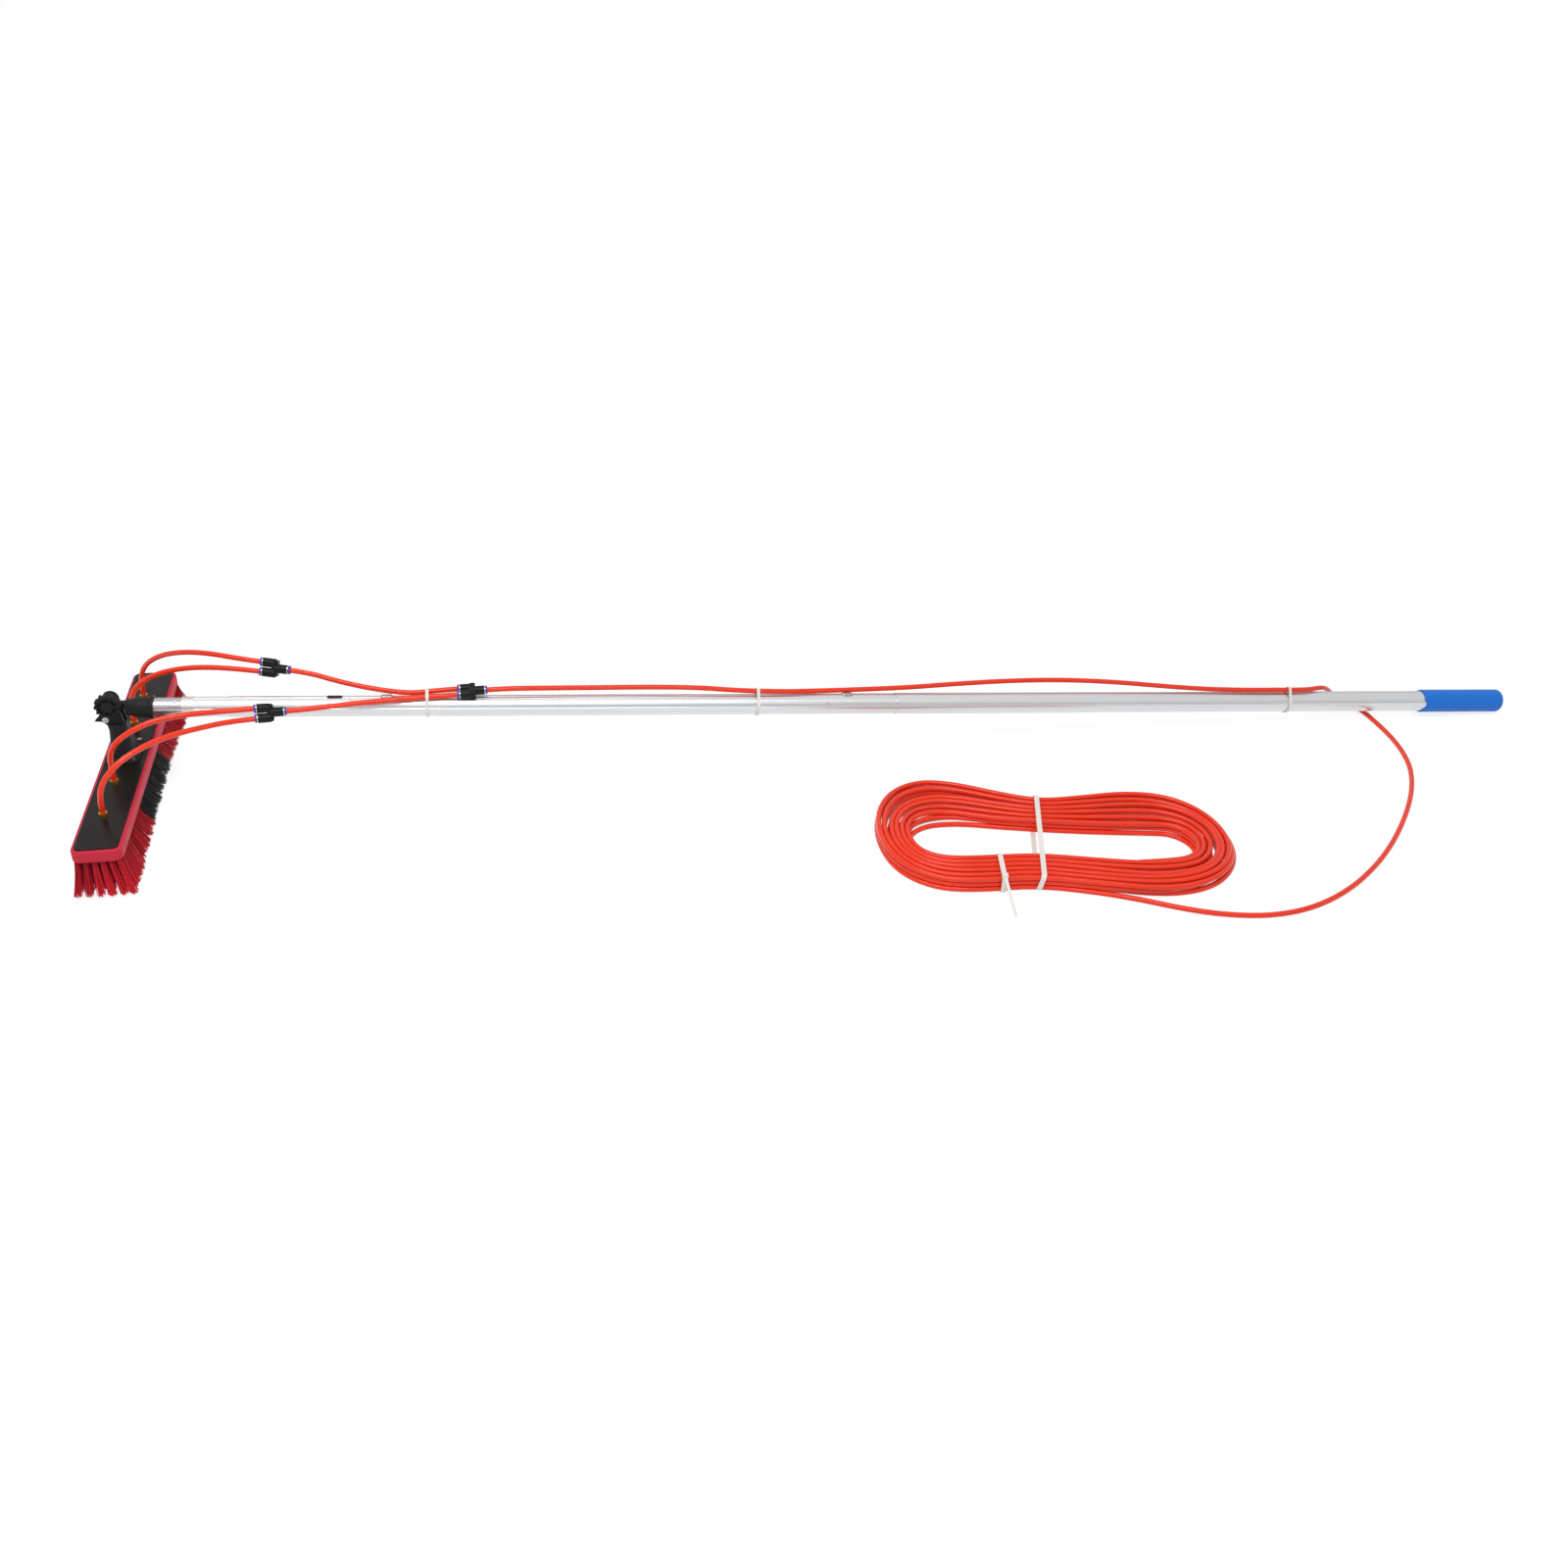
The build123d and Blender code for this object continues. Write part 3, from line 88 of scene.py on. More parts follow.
# Each fitting beside the pole: its middle, the way its single port looks and the way to its first one.
FITTINGS = {
    "rear_y": ((229.8, 52.0, 35.5), (0.980, -0.195, -0.041), (0.188, 0.352, 0.917)),
    "front_y": ((229.2, -38.0, 11.2), (0.992, 0.119, 0.028), (0.086, 0.378, 0.922)),
    "joining_y": ((515.9, 0.0, 25.1), (0.997, 0.0, 0.078), (0.0, 0.99, 0.138)),
}
BRANCH_ROUTES = {
    "branch_hose_1": [(23.4, 158, -15), (52, 138, 12.6), (90.7, 110, 33), (132, 84, 44.3)],
    "branch_hose_2": [(18.6, 85, -19.4), (43.4, 87, 3), (81.5, 80, 19.3), (125, 71, 28)],
    "branch_hose_3": [(17, -85.5, -19.5), (38.3, -85, 3.8), (74.5, -74, 19), (119.4, -60, 21.5)],
    "branch_hose_4": [(21.7, -162, -21.2), (46.5, -144, 1.3), (88, -112, 11.7), (132, -80, 9.3)],
}
LINK_REAR_ROUTE = [(314, 34.5, 24.8), (352, 22, 21.2), (390, 10, 20), (428, 1.5, 20.2)]
LINK_FRONT_ROUTE = [(314, -27.5, 15.6), (352, -21.5, 16.6), (390, -14.5, 17.1), (428, -9.5, 18.4)]
TIE_2_AT = 952.5
TIE_3_AT = 1863.2
UPPER_FEED_ROUTE = [
    (626, 5, 26.7), (704, 8.5, 25.4), (789, 8, 26.5), (864, 5, 26.7), (914.5, 2, 23.5), (TIE_2_AT, 1, 22.7),
]
LOWER_FEED_ROUTE = [
    (TIE_2_AT, 1, 22.7), (990.5, 0, 21.9), (1050, 6.5, 19.7), (1120, 10.5, 19.7), (1200, 11.5, 22.6),
    (1285, 16, 27), (1375, 20.5, 29.9), (1465, 21, 31), (1555, 17, 28.9), (1641, 9, 24.9),
    (1716, 3.5, 22.2), (1786, 0.5, 22), (1828.2, 0, 22.5), (TIE_3_AT, 0, 22.4),
]
LEAD_START = [(TIE_3_AT, 0, 22.4), (1898.2, 0, 22.3), (1927.6, 12.5, 19.8), (1949.6, 25, 12)]
LEAD_ON_FLOOR = [
    (1951, 36, 29), (1972, 43, 14), (1995.5, 33.4, 4), (2009, 12.5, 0), (2011, -18, 0), (2012.5, -52, 0),
    (2011, -88, 0), (2005, -126, 0), (1993, -167, 0), (1972, -210, 0), (1942, -257, 0), (1900, -311, 0),
    (1848, -369, 0), (1792, -421, 0), (1724, -471, 0), (1652, -505, 0), (1582, -516, 0), (1514, -504, 0),
    (1462, -483, 0), (1418, -459, 0),
]
# Round the hank, clockwise from above: x and y of the lying hose's outer and inner edge.
HANK_STATIONS = [
    ((1360, -436), (1367, -370)), ((1272, -407), (1290, -348)), ((1190, -407), (1212, -342)),
    ((1128, -395), (1160, -334)), ((1084, -350), (1131, -318)), ((1070, -285), (1120, -287)),
    ((1080, -212), (1131, -256)), ((1114, -156), (1160, -240)), ((1165, -132), (1196, -240)),
    ((1218, -145), (1228, -246)), ((1278, -180), (1264, -257)), ((1340, -211), (1318, -270)),
    ((1410, -209), (1382, -284)), ((1480, -203), (1444, -295)), ((1543, -211), (1484, -301)),
    ((1588, -247), (1514, -306)), ((1607, -305), (1533, -329)), ((1600, -371), (1533, -359)),
    ((1565, -425), (1514, -382)), ((1513, -457), (1484, -387)), ((1446, -463), (1432, -384)),
]


# ---------------------------------------------------------------- small tools
def linear(code):
    """An sRGB hex colour as linear red, green, blue and alpha."""
    shares = [int(code[i : i + 2], 16) / 255 for i in (1, 3, 5)]
    return tuple(c / 12.92 if c <= 0.04045 else ((c + 0.055) / 1.055) ** 2.4 for c in shares) + (1.0,)


def shade(colour, share):
    """A colour made lighter or darker by a share of itself."""
    return tuple(min(1.0, c * share) for c in colour[:3]) + (1.0,)


def node(tree, kind, inputs=(), **settings):
    """Adds a node with its settings; inputs gives each socket a value or another node's output."""
    made = tree.nodes.new(kind)
    for name, value in settings.items():
        setattr(made, name, value)
    for key, value in dict(inputs).items():
        socket = made.inputs[key]
        if isinstance(value, bpy.types.NodeSocket):
            tree.links.new(value, socket)
        else:
            socket.default_value = value
    return made


def beside_pole(s, y, n):
    """A point given beside the pole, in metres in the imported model's frame."""
    return PIVOT + (ALONG_POLE * (s - PIVOT_AT[0]) + ACROSS_POLE * y + ABOVE_POLE * (n - PIVOT_AT[1])) * MM


def port_axes(name):
    """Middle and outward way of the fitting's first, second and single port."""
    middle, along, towards_first = FITTINGS[name]
    x = Vector(along).normalized()
    first = Vector(towards_first)
    y = (first - x * first.dot(x)).normalized()
    centre = Vector(middle)
    return [(centre + y * PORT_PITCH / 2, -x), (centre - y * PORT_PITCH / 2, -x), (centre, x)]


def port_points(name, port):
    """Two points of a hose beside the pole: outside that port, then inside it."""
    centre, way = port_axes(name)[port]
    return [tuple(centre + way * PORT_OUTSIDE), tuple(centre + way * PORT_INSIDE)]


def spline_through(name, points, resolution=10):
    """A curve of one NURBS spline with these control points, which holds its two ends."""
    curve = bpy.data.curves.new(name, "CURVE")
    curve.dimensions = "3D"
    spline = curve.splines.new("NURBS")
    spline.points.add(len(points) - 1)
    for target, point in zip(spline.points, points):
        target.co = (*point, 1.0)
    spline.order_u = 3
    spline.use_endpoint_u = True
    curve.resolution_u = resolution
    made = bpy.data.objects.new(name, curve)
    bpy.context.scene.collection.objects.link(made)
    return made


def line_of(points, resolution=10):
    """The points that a smooth line with these control points passes."""
    holder = spline_through("line", points, resolution)
    mesh = bpy.data.meshes.new_from_object(holder)
    found = [v.co.copy() for v in mesh.vertices]
    curve = holder.data
    bpy.data.objects.remove(holder)
    bpy.data.curves.remove(curve)
    bpy.data.meshes.remove(mesh)
    return found


def length_of(line):
    """The length of a line of points."""
    return sum((b - a).length for a, b in zip(line, line[1:]))


# How deep the bore is open at each end of a drawn hose.
BORE_DEPTH = 6 * MM


def tube_along(name, line, radius, bore, sides=20):
    """A tube mesh along a line, with the bore open at its square-cut ends and a UV map along it."""
    mesh = bmesh.new()
    layer = mesh.loops.layers.uv.new("along")
    ways = [(b - a).normalized() for a, b in zip(line, line[1:])]
    tangents = [ways[0]] + [(a + b).normalized() for a, b in zip(ways, ways[1:])] + [ways[-1]]
    side = tangents[0].orthogonal().normalized()
    angles = [2 * pi * i / sides for i in range(sides)]
    rings = []
    run = [0.0]
    for a, b in zip(line, line[1:]):
        run.append(run[-1] + (b - a).length)
    for point, tangent in zip(line, tangents):
        side = (side - tangent * side.dot(tangent)).normalized()
        other = tangent.cross(side)
        rings.append([mesh.verts.new(point + (side * cos(a) + other * sin(a)) * radius) for a in angles])
    for k, (a, b) in enumerate(zip(rings, rings[1:])):
        for i in range(sides):
            j = (i + 1) % sides
            face = mesh.faces.new((a[i], a[j], b[j], b[i]))
            face.smooth = True
            corners = ((run[k], i), (run[k], i + 1), (run[k + 1], i + 1), (run[k + 1], i))
            for loop, (u, v) in zip(face.loops, corners):
                loop[layer].uv = (u, v / sides)
    for ring, point, flip in ((rings[0], line[0], True), (rings[-1], line[-1], False)):
        tangent = tangents[0] if flip else tangents[-1]
        lip = [mesh.verts.new(point + (v.co - point) * bore / radius) for v in ring]
        deep = [mesh.verts.new(v.co + tangent * (BORE_DEPTH if flip else -BORE_DEPTH)) for v in lip]
        for first, second in ((ring, lip), (lip, deep)):
            for i in range(sides):
                j = (i + 1) % sides
                corners = (first[j], first[i], second[i], second[j])
                mesh.faces.new(corners if flip else corners[::-1])
        mesh.faces.new(deep if not flip else deep[::-1])
    bmesh.ops.recalc_face_normals(mesh, faces=mesh.faces)
    data = bpy.data.meshes.new(name)
    mesh.to_mesh(data)
    mesh.free()
    made = bpy.data.objects.new(name, data)
    bpy.context.scene.collection.objects.link(made)
    return made


def bake(holder, name, group, values):
    """The result of a geometry node group, as a plain mesh object."""
    modifier = holder.modifiers.new("build", "NODES")
    modifier.node_group = group
    for item in group.interface.items_tree:
        if item.item_type == "SOCKET" and item.in_out == "INPUT" and item.name in values:
            modifier[item.identifier] = values[item.name]
    bpy.context.view_layer.update()
    depsgraph = bpy.context.evaluated_depsgraph_get()
    mesh = bpy.data.meshes.new_from_object(holder.evaluated_get(depsgraph))
    holder.modifiers.remove(modifier)
    bpy.data.objects.remove(holder)
    mesh.name = name
    made = bpy.data.objects.new(name, mesh)
    bpy.context.scene.collection.objects.link(made)
    return made


# ---------------------------------------------------------------- finishes
# Slow patches of tone and gloss per metre: 70 mm on a hose down to 12 mm on a strap.
HOSE_PATCHES = 14.0
MOULDED_PATCHES = 22.0
GRIP_PATCHES = 30.0
METAL_PATCHES = 60.0
STRAP_PATCHES = 80.0
# Grains of a strap's surface per metre.
STRAP_GRAIN = 700.0
# Long lines along the pole: how many to a metre along it, then two ways across it. Die lines are
# really finer than 1.1 mm and are drawn as coarse as they need to show.
DIE_LINES = (1.5, 900.0, 900.0)
GRIP_RIBS = (2.0, 420.0, 420.0)
# The middle of a noise texture's range, which holds nearly all of it.
NOISE_LOW, NOISE_HIGH = 0.3, 0.7
# The wave texture multiplies its scale by this.
WAVE_TURNS = 20
# Height of the bristles' roots, and the share of their tone that is left there under the painted shade that
# darkens them towards the block.
ROOTS_AT = 58 * MM
TONE_LEFT_IN_ROOT_SHADE = 0.38


def start_material(name, colour, metallic, roughness):
    """A material with one Principled shader, and Object coordinates to pattern it by."""
    material = bpy.data.materials.new(name)
    material.use_nodes = True
    tree = material.node_tree
    tree.nodes.clear()
    shader = node(
        tree, "ShaderNodeBsdfPrincipled", {"Base Color": colour, "Metallic": metallic, "Roughness": roughness}
    )
    node(tree, "ShaderNodeOutputMaterial", {"Surface": shader.outputs[0]})
    place = node(tree, "ShaderNodeTexCoord")
    return material, tree, shader, place.outputs["Object"]


def tone_and_gloss(tree, shader, noise, low, high, rough_low, rough_high):
    """Colour and roughness that follow a noise."""
    tint = node(tree, "ShaderNodeMix", {0: noise, 6: low, 7: high}, data_type="RGBA")
    levels = {0: noise, 1: NOISE_LOW, 2: NOISE_HIGH, 3: rough_low, 4: rough_high}
    gloss = node(tree, "ShaderNodeMapRange", levels)
    tree.links.new(tint.outputs[2], shader.inputs["Base Color"])
    tree.links.new(gloss.outputs[0], shader.inputs["Roughness"])


def mottle(tree, shader, place, scale, low, high, rough_low, rough_high):
    """Slow change of colour and of gloss over the surface."""
    settings = {"Vector": place, "Scale": scale, "Detail": 4.0, "Roughness": 0.6}
    cloud = node(tree, "ShaderNodeTexNoise", settings)
    tone_and_gloss(tree, shader, cloud.outputs["Fac"], low, high, rough_low, rough_high)


def grain(tree, shader, place, scale, height):
    """Fine moulded grain, as bump of a given height in metres."""
    fine = node(tree, "ShaderNodeTexNoise", {"Vector": place, "Scale": scale, "Detail": 3.0})
    bump = node(tree, "ShaderNodeBump", {"Height": fine.outputs["Fac"], "Distance": height, "Strength": 1.0})
    tree.links.new(bump.outputs[0], shader.inputs["Normal"])


def pole_place(tree, place, stretch):
    """Coordinates along and across the pole, drawn out along it."""
    slope = tuple(ALONG_POLE.to_track_quat("X", "Z").to_euler())
    turned = node(tree, "ShaderNodeMapping", {"Vector": place, "Rotation": slope}, vector_type="TEXTURE")
    return node(tree, "ShaderNodeMapping", {"Vector": turned.outputs[0], "Scale": stretch}).outputs[0]


def extruded_polyurethane(look):
    # Extruded polyurethane hose: clear wet gloss, even colour, and a little light goes into it.
    colour = tuple(look.hose) + (1.0,)
    material, tree, shader, place = start_material("extruded_polyurethane", colour, 0.0, 0.2)
    mottle(tree, shader, place, HOSE_PATCHES, shade(colour, 0.92), shade(colour, 1.06), 0.18, 0.24)
    shader.inputs["Specular IOR Level"].default_value = 0.4
    shader.inputs["Subsurface Weight"].default_value = 0.08
    shader.inputs["Subsurface Radius"].default_value = (0.004, 0.001, 0.0006)
    shader.inputs["Subsurface Scale"].default_value = 1.0
    return material


def bristle_filament(name, colour):
    # Crimped polyester filament: satin along each strand, with painted shade that darkens it towards the root, and
    # a tone that differs by tuft and by strand.
    material, tree, shader, place = start_material(name, colour, 0.0, 0.42)
    tone = node(tree, "ShaderNodeAttribute", attribute_name="tone")
    height = node(tree, "ShaderNodeSeparateXYZ", {"Vector": place})
    # Painted shade: from the tips up to the roots the strands darken, as shade falls among them under the block.
    down = node(
        tree, "ShaderNodeMapRange", {0: height.outputs["Z"], 1: ROOTS_AT, 2: 0.0, 3: TONE_LEFT_IN_ROOT_SHADE, 4: 1.0}
    )
    lit = {0: tone.outputs["Fac"], 6: shade(colour, 0.8), 7: shade(colour, 2.3)}
    lit = node(tree, "ShaderNodeMix", lit, data_type="RGBA")
    # Near the roots the painted shade mixes in a darker copy of the colour.
    whole = {0: down.outputs[0], 6: shade(colour, 0.42), 7: lit.outputs[2]}
    whole = node(tree, "ShaderNodeMix", whole, data_type="RGBA")
    tree.links.new(whole.outputs[2], shader.inputs["Base Color"])
    gloss = node(tree, "ShaderNodeMapRange", {0: tone.outputs["Fac"], 1: 0.0, 2: 1.0, 3: 0.5, 4: 0.34})
    tree.links.new(gloss.outputs[0], shader.inputs["Roughness"])
    shader.inputs["Specular IOR Level"].default_value = 0.2
    return material


def moulded(name, colour, roughness, grain_mm, depth):
    # Injection-moulded plastic: even colour with slow gloss change and the mould's fine grain.
    material, tree, shader, place = start_material(name, colour, 0.0, roughness)
    dark, light = shade(colour, 0.9), shade(colour, 1.1)
    mottle(tree, shader, place, MOULDED_PATCHES, dark, light, roughness - 0.06, roughness + 0.08)
    grain(tree, shader, place, 1.0 / (grain_mm * MM), depth)
    shader.inputs["Specular IOR Level"].default_value = 0.3
    shader.inputs["IOR"].default_value = 1.3
    return material


def turned_metal(name, colour, roughness, step_mm):
    # Turned or plated metal: small changes of gloss, and tool lines drawn a dozen times coarser than
    # cut, so that they show.
    material, tree, shader, place = start_material(name, colour, 1.0, roughness)
    dark, light = shade(colour, 0.88), shade(colour, 1.05)
    mottle(tree, shader, place, METAL_PATCHES, dark, light, roughness - 0.06, roughness + 0.1)
    lines = node(
        tree, "ShaderNodeTexWave",
        {"Vector": place, "Scale": 0.5 / (step_mm * MM) / WAVE_TURNS, "Distortion": 0.6},
        wave_type="BANDS", bands_direction="Z",
    )
    cut = {"Height": lines.outputs["Fac"], "Distance": 0.00002, "Strength": 0.5}
    tree.links.new(node(tree, "ShaderNodeBump", cut).outputs[0], shader.inputs["Normal"])
    return material


def drawn_aluminium(name, colour, roughness, streak):
    # Drawn, anodised tube: satin metal with long fine die lines and light handling marks.
    material, tree, shader, place = start_material(name, colour, 1.0, roughness)
    along = pole_place(tree, place, DIE_LINES)
    lines = node(tree, "ShaderNodeTexNoise", {"Vector": along, "Scale": 1.0, "Detail": 3.0}).outputs["Fac"]
    dark, light = shade(colour, 1.0 - streak), shade(colour, 1.0 + streak)
    tone_and_gloss(tree, shader, lines, dark, light, roughness - 0.06, roughness + 0.08)
    drawn = {"Height": lines, "Distance": 0.00003, "Strength": 0.6}
    tree.links.new(node(tree, "ShaderNodeBump", drawn).outputs[0], shader.inputs["Normal"])
    return material


def ribbed_rubber(look):
    # Soft moulded grip: satin thermoplastic rubber with faint lengthwise ribs.
    colour = tuple(look.grip) + (1.0,)
    material, tree, shader, place = start_material("ribbed_rubber", colour, 0.0, 0.42)
    mottle(tree, shader, place, GRIP_PATCHES, shade(colour, 0.92), shade(colour, 1.08), 0.36, 0.5)
    along = pole_place(tree, place, GRIP_RIBS)
    ribs = node(tree, "ShaderNodeTexNoise", {"Vector": along, "Scale": 1.0, "Detail": 1.0})
    raised = {"Height": ribs.outputs["Fac"], "Distance": 0.0004, "Strength": 0.7}
    tree.links.new(node(tree, "ShaderNodeBump", raised).outputs[0], shader.inputs["Normal"])
    shader.inputs["Specular IOR Level"].default_value = 0.3
    return material


def natural_nylon(look):
    # Natural nylon strap: milky, lets a little light through, with a waxy gloss.
    colour = tuple(look.tie) + (1.0,)
    material, tree, shader, place = start_material("natural_nylon", colour, 0.0, 0.4)
    mottle(tree, shader, place, STRAP_PATCHES, shade(colour, 0.96), shade(colour, 1.02), 0.34, 0.46)
    grain(tree, shader, place, STRAP_GRAIN, 0.00004)
    shader.inputs["Subsurface Weight"].default_value = 0.2
    shader.inputs["Subsurface Radius"].default_value = (0.003, 0.003, 0.0025)
    shader.inputs["Subsurface Scale"].default_value = 1.0
    return material


def make_finishes(look):
    """The finish for each material slot of the record."""
    rgba = {key: tuple(getattr(look, key)) + (1.0,) for key in look.__annotations__}
    return {
        "brush_block": moulded("moulded_polypropylene_rim", rgba["rim"], 0.5, 0.6, 0.00004),
        "brush_panel": moulded("moulded_abs_cover", rgba["panel"], 0.26, 0.8, 0.00003),
        "red_bristle": bristle_filament("polyester_filament_red", rgba["red_bristle"]),
        "black_bristle": bristle_filament("polyester_filament_black", rgba["black_bristle"]),
        "brass": turned_metal("turned_brass", rgba["brass"], 0.36, 0.4),
        "joint_plastic": moulded("glass_filled_nylon", rgba["joint"], 0.46, 0.7, 0.0001),
        "steel": turned_metal("zinc_plated_steel", rgba["steel"], 0.28, 0.4),
        "sleeve_metal": drawn_aluminium("polished_aluminium", rgba["sleeve"], 0.2, 0.05),
        "collar_metal": drawn_aluminium("crimped_aluminium", rgba["collar"], 0.34, 0.04),
        "pole_tube": drawn_aluminium("drawn_aluminium", rgba["tube"], 0.3, 0.08),
        "button_black": moulded("moulded_button", rgba["joint"], 0.35, 0.5, 0.00003),
        "grip_blue": ribbed_rubber(look),
        "fitting_body": moulded("acetal_fitting", rgba["fitting"], 0.34, 0.8, 0.00006),
        "release_collar": moulded("acetal_collar", rgba["release"], 0.3, 0.8, 0.00003),
        "ring_metal": turned_metal("polished_ring", rgba["sleeve"], 0.16, 0.3),
        "seal_rubber": moulded("nitrile_seal", rgba["fitting"], 0.5, 0.5, 0.00003),
        "hose": extruded_polyurethane(look),
        "tie_nylon": natural_nylon(look),
    }


# The material's name for each slot, filled when the finishes are made.
FINISH_NAMES = {}


def finish_of(slot):
    """The material made for one of the record's slots."""
    return bpy.data.materials[FINISH_NAMES[slot]]


# ---------------------------------------------------------------- what a user can change
def colour_setting(name, description, code):
    """A colour in the panel, from its hexadecimal code."""
    return bpy.props.FloatVectorProperty(
        name=name, description=description, subtype="COLOR", size=3, min=0.0, max=1.0,
        default=linear(code)[:3],
    )


def length_setting(name, description, value):
    """A length in the panel, in metres."""
    return bpy.props.FloatProperty(
        name=name, description=description, default=value, min=0.0001, unit="LENGTH", subtype="DISTANCE",
        precision=4,
    )


def count_setting(name, description, value):
    """A whole number in the panel, of at least one."""
    return bpy.props.IntProperty(name=name, description=description, default=value, min=1)


class PoleColours(bpy.types.PropertyGroup):
    """Colours of the pole's finishes."""

    rim: colour_setting("Brush Rim", "Moulded block round the brush's cover", "#CE2F44")
    panel: colour_setting("Brush Cover", "Cover set into the block", "#1E1B19")
    red_bristle: colour_setting("Outer Bristles", "Bristles at the brush's two ends", "#DE1F2E")
    black_bristle: colour_setting("Middle Bristles", "Bristles in the brush's middle", "#211E1C")
    brass: colour_setting("Brass", "Hose barbs and jets", "#E2B458")
    joint: colour_setting("Joint", "Tilt joint, knob and socket", "#242323")
    steel: colour_setting("Screws", "Screws, bolt and springs", "#B9BBBD")
    sleeve: colour_setting("Sleeve", "Polished sleeve behind the socket", "#C4C5C7")
    collar: colour_setting("Collar", "Crimped collar", "#E2E2DE")
    tube: colour_setting("Tubes", "Telescopic tubes", "#D8DADC")
    grip: colour_setting("Grip", "Rubber grip", "#1476DC")
    fitting: colour_setting("Fittings", "Bodies of the push-in fittings", "#1E1E20")
    release: colour_setting("Release Collars", "Collars that free the hose", "#4A48B8")
    hose: colour_setting("Hose", "Water hose", "#F23612")
    tie: colour_setting("Cable Ties", "Nylon ties", "#EDEBE4")


class BristleSettings(bpy.types.PropertyGroup):
    """Tufts of the brush."""

    length: length_setting("Length", "From the block to the tips", 0.0549)
    strand: length_setting("Strand Thickness", "Drawn coarser than a real strand, so that it shows", 0.00085)
    rows: count_setting("Rows", "Tufts across the brush", 6)
    strands: count_setting("Strands per Tuft", "Strands in one tuft", 62)
    seed: bpy.props.IntProperty(name="Seed", description="Changes how the strands are scattered", default=7)


class HoseSettings(bpy.types.PropertyGroup):
    """Hose sizes, and the turns of the hank."""

    diameter: length_setting("Diameter", "Outside diameter of the hose", 0.008)
    bore: length_setting("Bore", "Inside diameter of the hose", 0.005)
    columns: count_setting("Columns", "Strands side by side in the hank", 6)
    layers: count_setting("Layers", "Strands on top of each other in the hank", 3)
    seed: bpy.props.IntProperty(name="Seed", description="Changes how the loose turns lie", default=11)


class StageSettings(bpy.types.PropertyGroup):
    """Camera and light."""

    lens: bpy.props.FloatProperty(
        name="Lens", description="Focal length", default=34.7355, min=1.0, unit="CAMERA"
    )
    sky: bpy.props.FloatProperty(
        name="Sky", description="Strength of the light from all round", default=0.56, min=0.0
    )
    key: bpy.props.FloatProperty(
        name="Key Lamp", description="Power of the large lamp overhead", default=50.0, min=0.0, unit="POWER"
    )


# ---------------------------------------------------------------- bristles
TUFT_LENGTHS = (
    "Root From", "Root To", "Tip From", "Tip To", "Root Half Width", "Tip Half Width", "Bristle Length",
    "Tuft Radius", "Tip Radius", "Tuft Lean", "Ragged Tips", "Strand Thickness", "Side Flare",
    "Corner Flare",
)
TUFT_COUNTS = ("Rows", "Columns", "Strands per Tuft", "Seed")
# Half the brush's length in metres, and the power that makes a strand lean more towards its tip.
HALF_BRUSH = 0.25
SPREAD_POWER = 1.35
# Each draw: its name, from, to, whether for a strand or for a tuft, and its own share of the seed.
TUFT_DRAWS = (
    ("turn", 0.0, 2 * pi, "strand", 1),
    ("disc area", 0.0, 1.0, "strand", 2),
    ("lean x", -1.0, 1.0, "tuft", 3),
    ("lean y", -1.0, 1.0, "tuft", 4),
    ("strand rag", 0.0, 0.5, "strand", 5),
    ("tuft rag", 0.0, 0.35, "tuft", 6),
    ("strand tone", 0.0, 1.0, "strand", 8),
    ("tuft tone", 0.1, 0.65, "tuft", 9),
)
# Each sum: its name, the operation and its terms, which are numbers or the names of what is known.
# Spot x and spot y are the tuft's middle, from the middle of its field.
TUFT_SUMS = (
    ("share", "SQRT", "disc area"),
    ("cosine", "COSINE", "turn"),
    ("sine", "SINE", "turn"),
    ("disc x", "MULTIPLY", "cosine", "share"),
    ("disc y", "MULTIPLY", "sine", "share"),
    ("both ends", "ADD", "Root From", "Root To"),
    ("middle", "MULTIPLY", "both ends", 0.5),
    ("along", "ADD", "spot y", "middle"),
    ("root x", "MULTIPLY_ADD", "disc x", "Tuft Radius", "spot x"),
    ("root from middle", "MULTIPLY_ADD", "disc y", "Tuft Radius", "spot y"),
    ("root y", "ADD", "root from middle", "middle"),
    # The side under the pole splays, most of all at the brush's two ends.
    ("widen", "DIVIDE", "Tip Half Width", "Root Half Width"),
    ("wide x", "MULTIPLY", "spot x", "widen"),
    ("spread x", "MULTIPLY_ADD", "disc x", "Tip Radius", "wide x"),
    ("leant x", "MULTIPLY_ADD", "lean x", "Tuft Lean", "spread x"),
    ("to end", "DIVIDE", "along", HALF_BRUSH),
    ("to end squared", "MULTIPLY", "to end", "to end"),
    ("flare", "MULTIPLY_ADD", "to end squared", "Corner Flare", "Side Flare"),
    ("to side", "DIVIDE", "spot x", "Root Half Width"),
    ("under pole", "MULTIPLY_ADD", "to side", 0.5, 0.5),
    ("tip x", "MULTIPLY_ADD", "under pole", "flare", "leant x"),
    # The strands on a tuft's edge end higher than its middle ones.
    ("share cubed", "POWER", "share", 3.0),
    ("strand height", "MULTIPLY_ADD", "share cubed", 0.5, "strand rag"),
    ("ragged", "ADD", "strand height", "tuft rag"),
    ("end cap", "MULTIPLY", "Strand Thickness", 0.6),
    ("tip z", "MULTIPLY_ADD", "ragged", "Ragged Tips", "end cap"),
    ("tone", "MULTIPLY_ADD", "strand tone", 0.35, "tuft tone"),
    ("radius", "MULTIPLY", "Strand Thickness", 0.5),
)


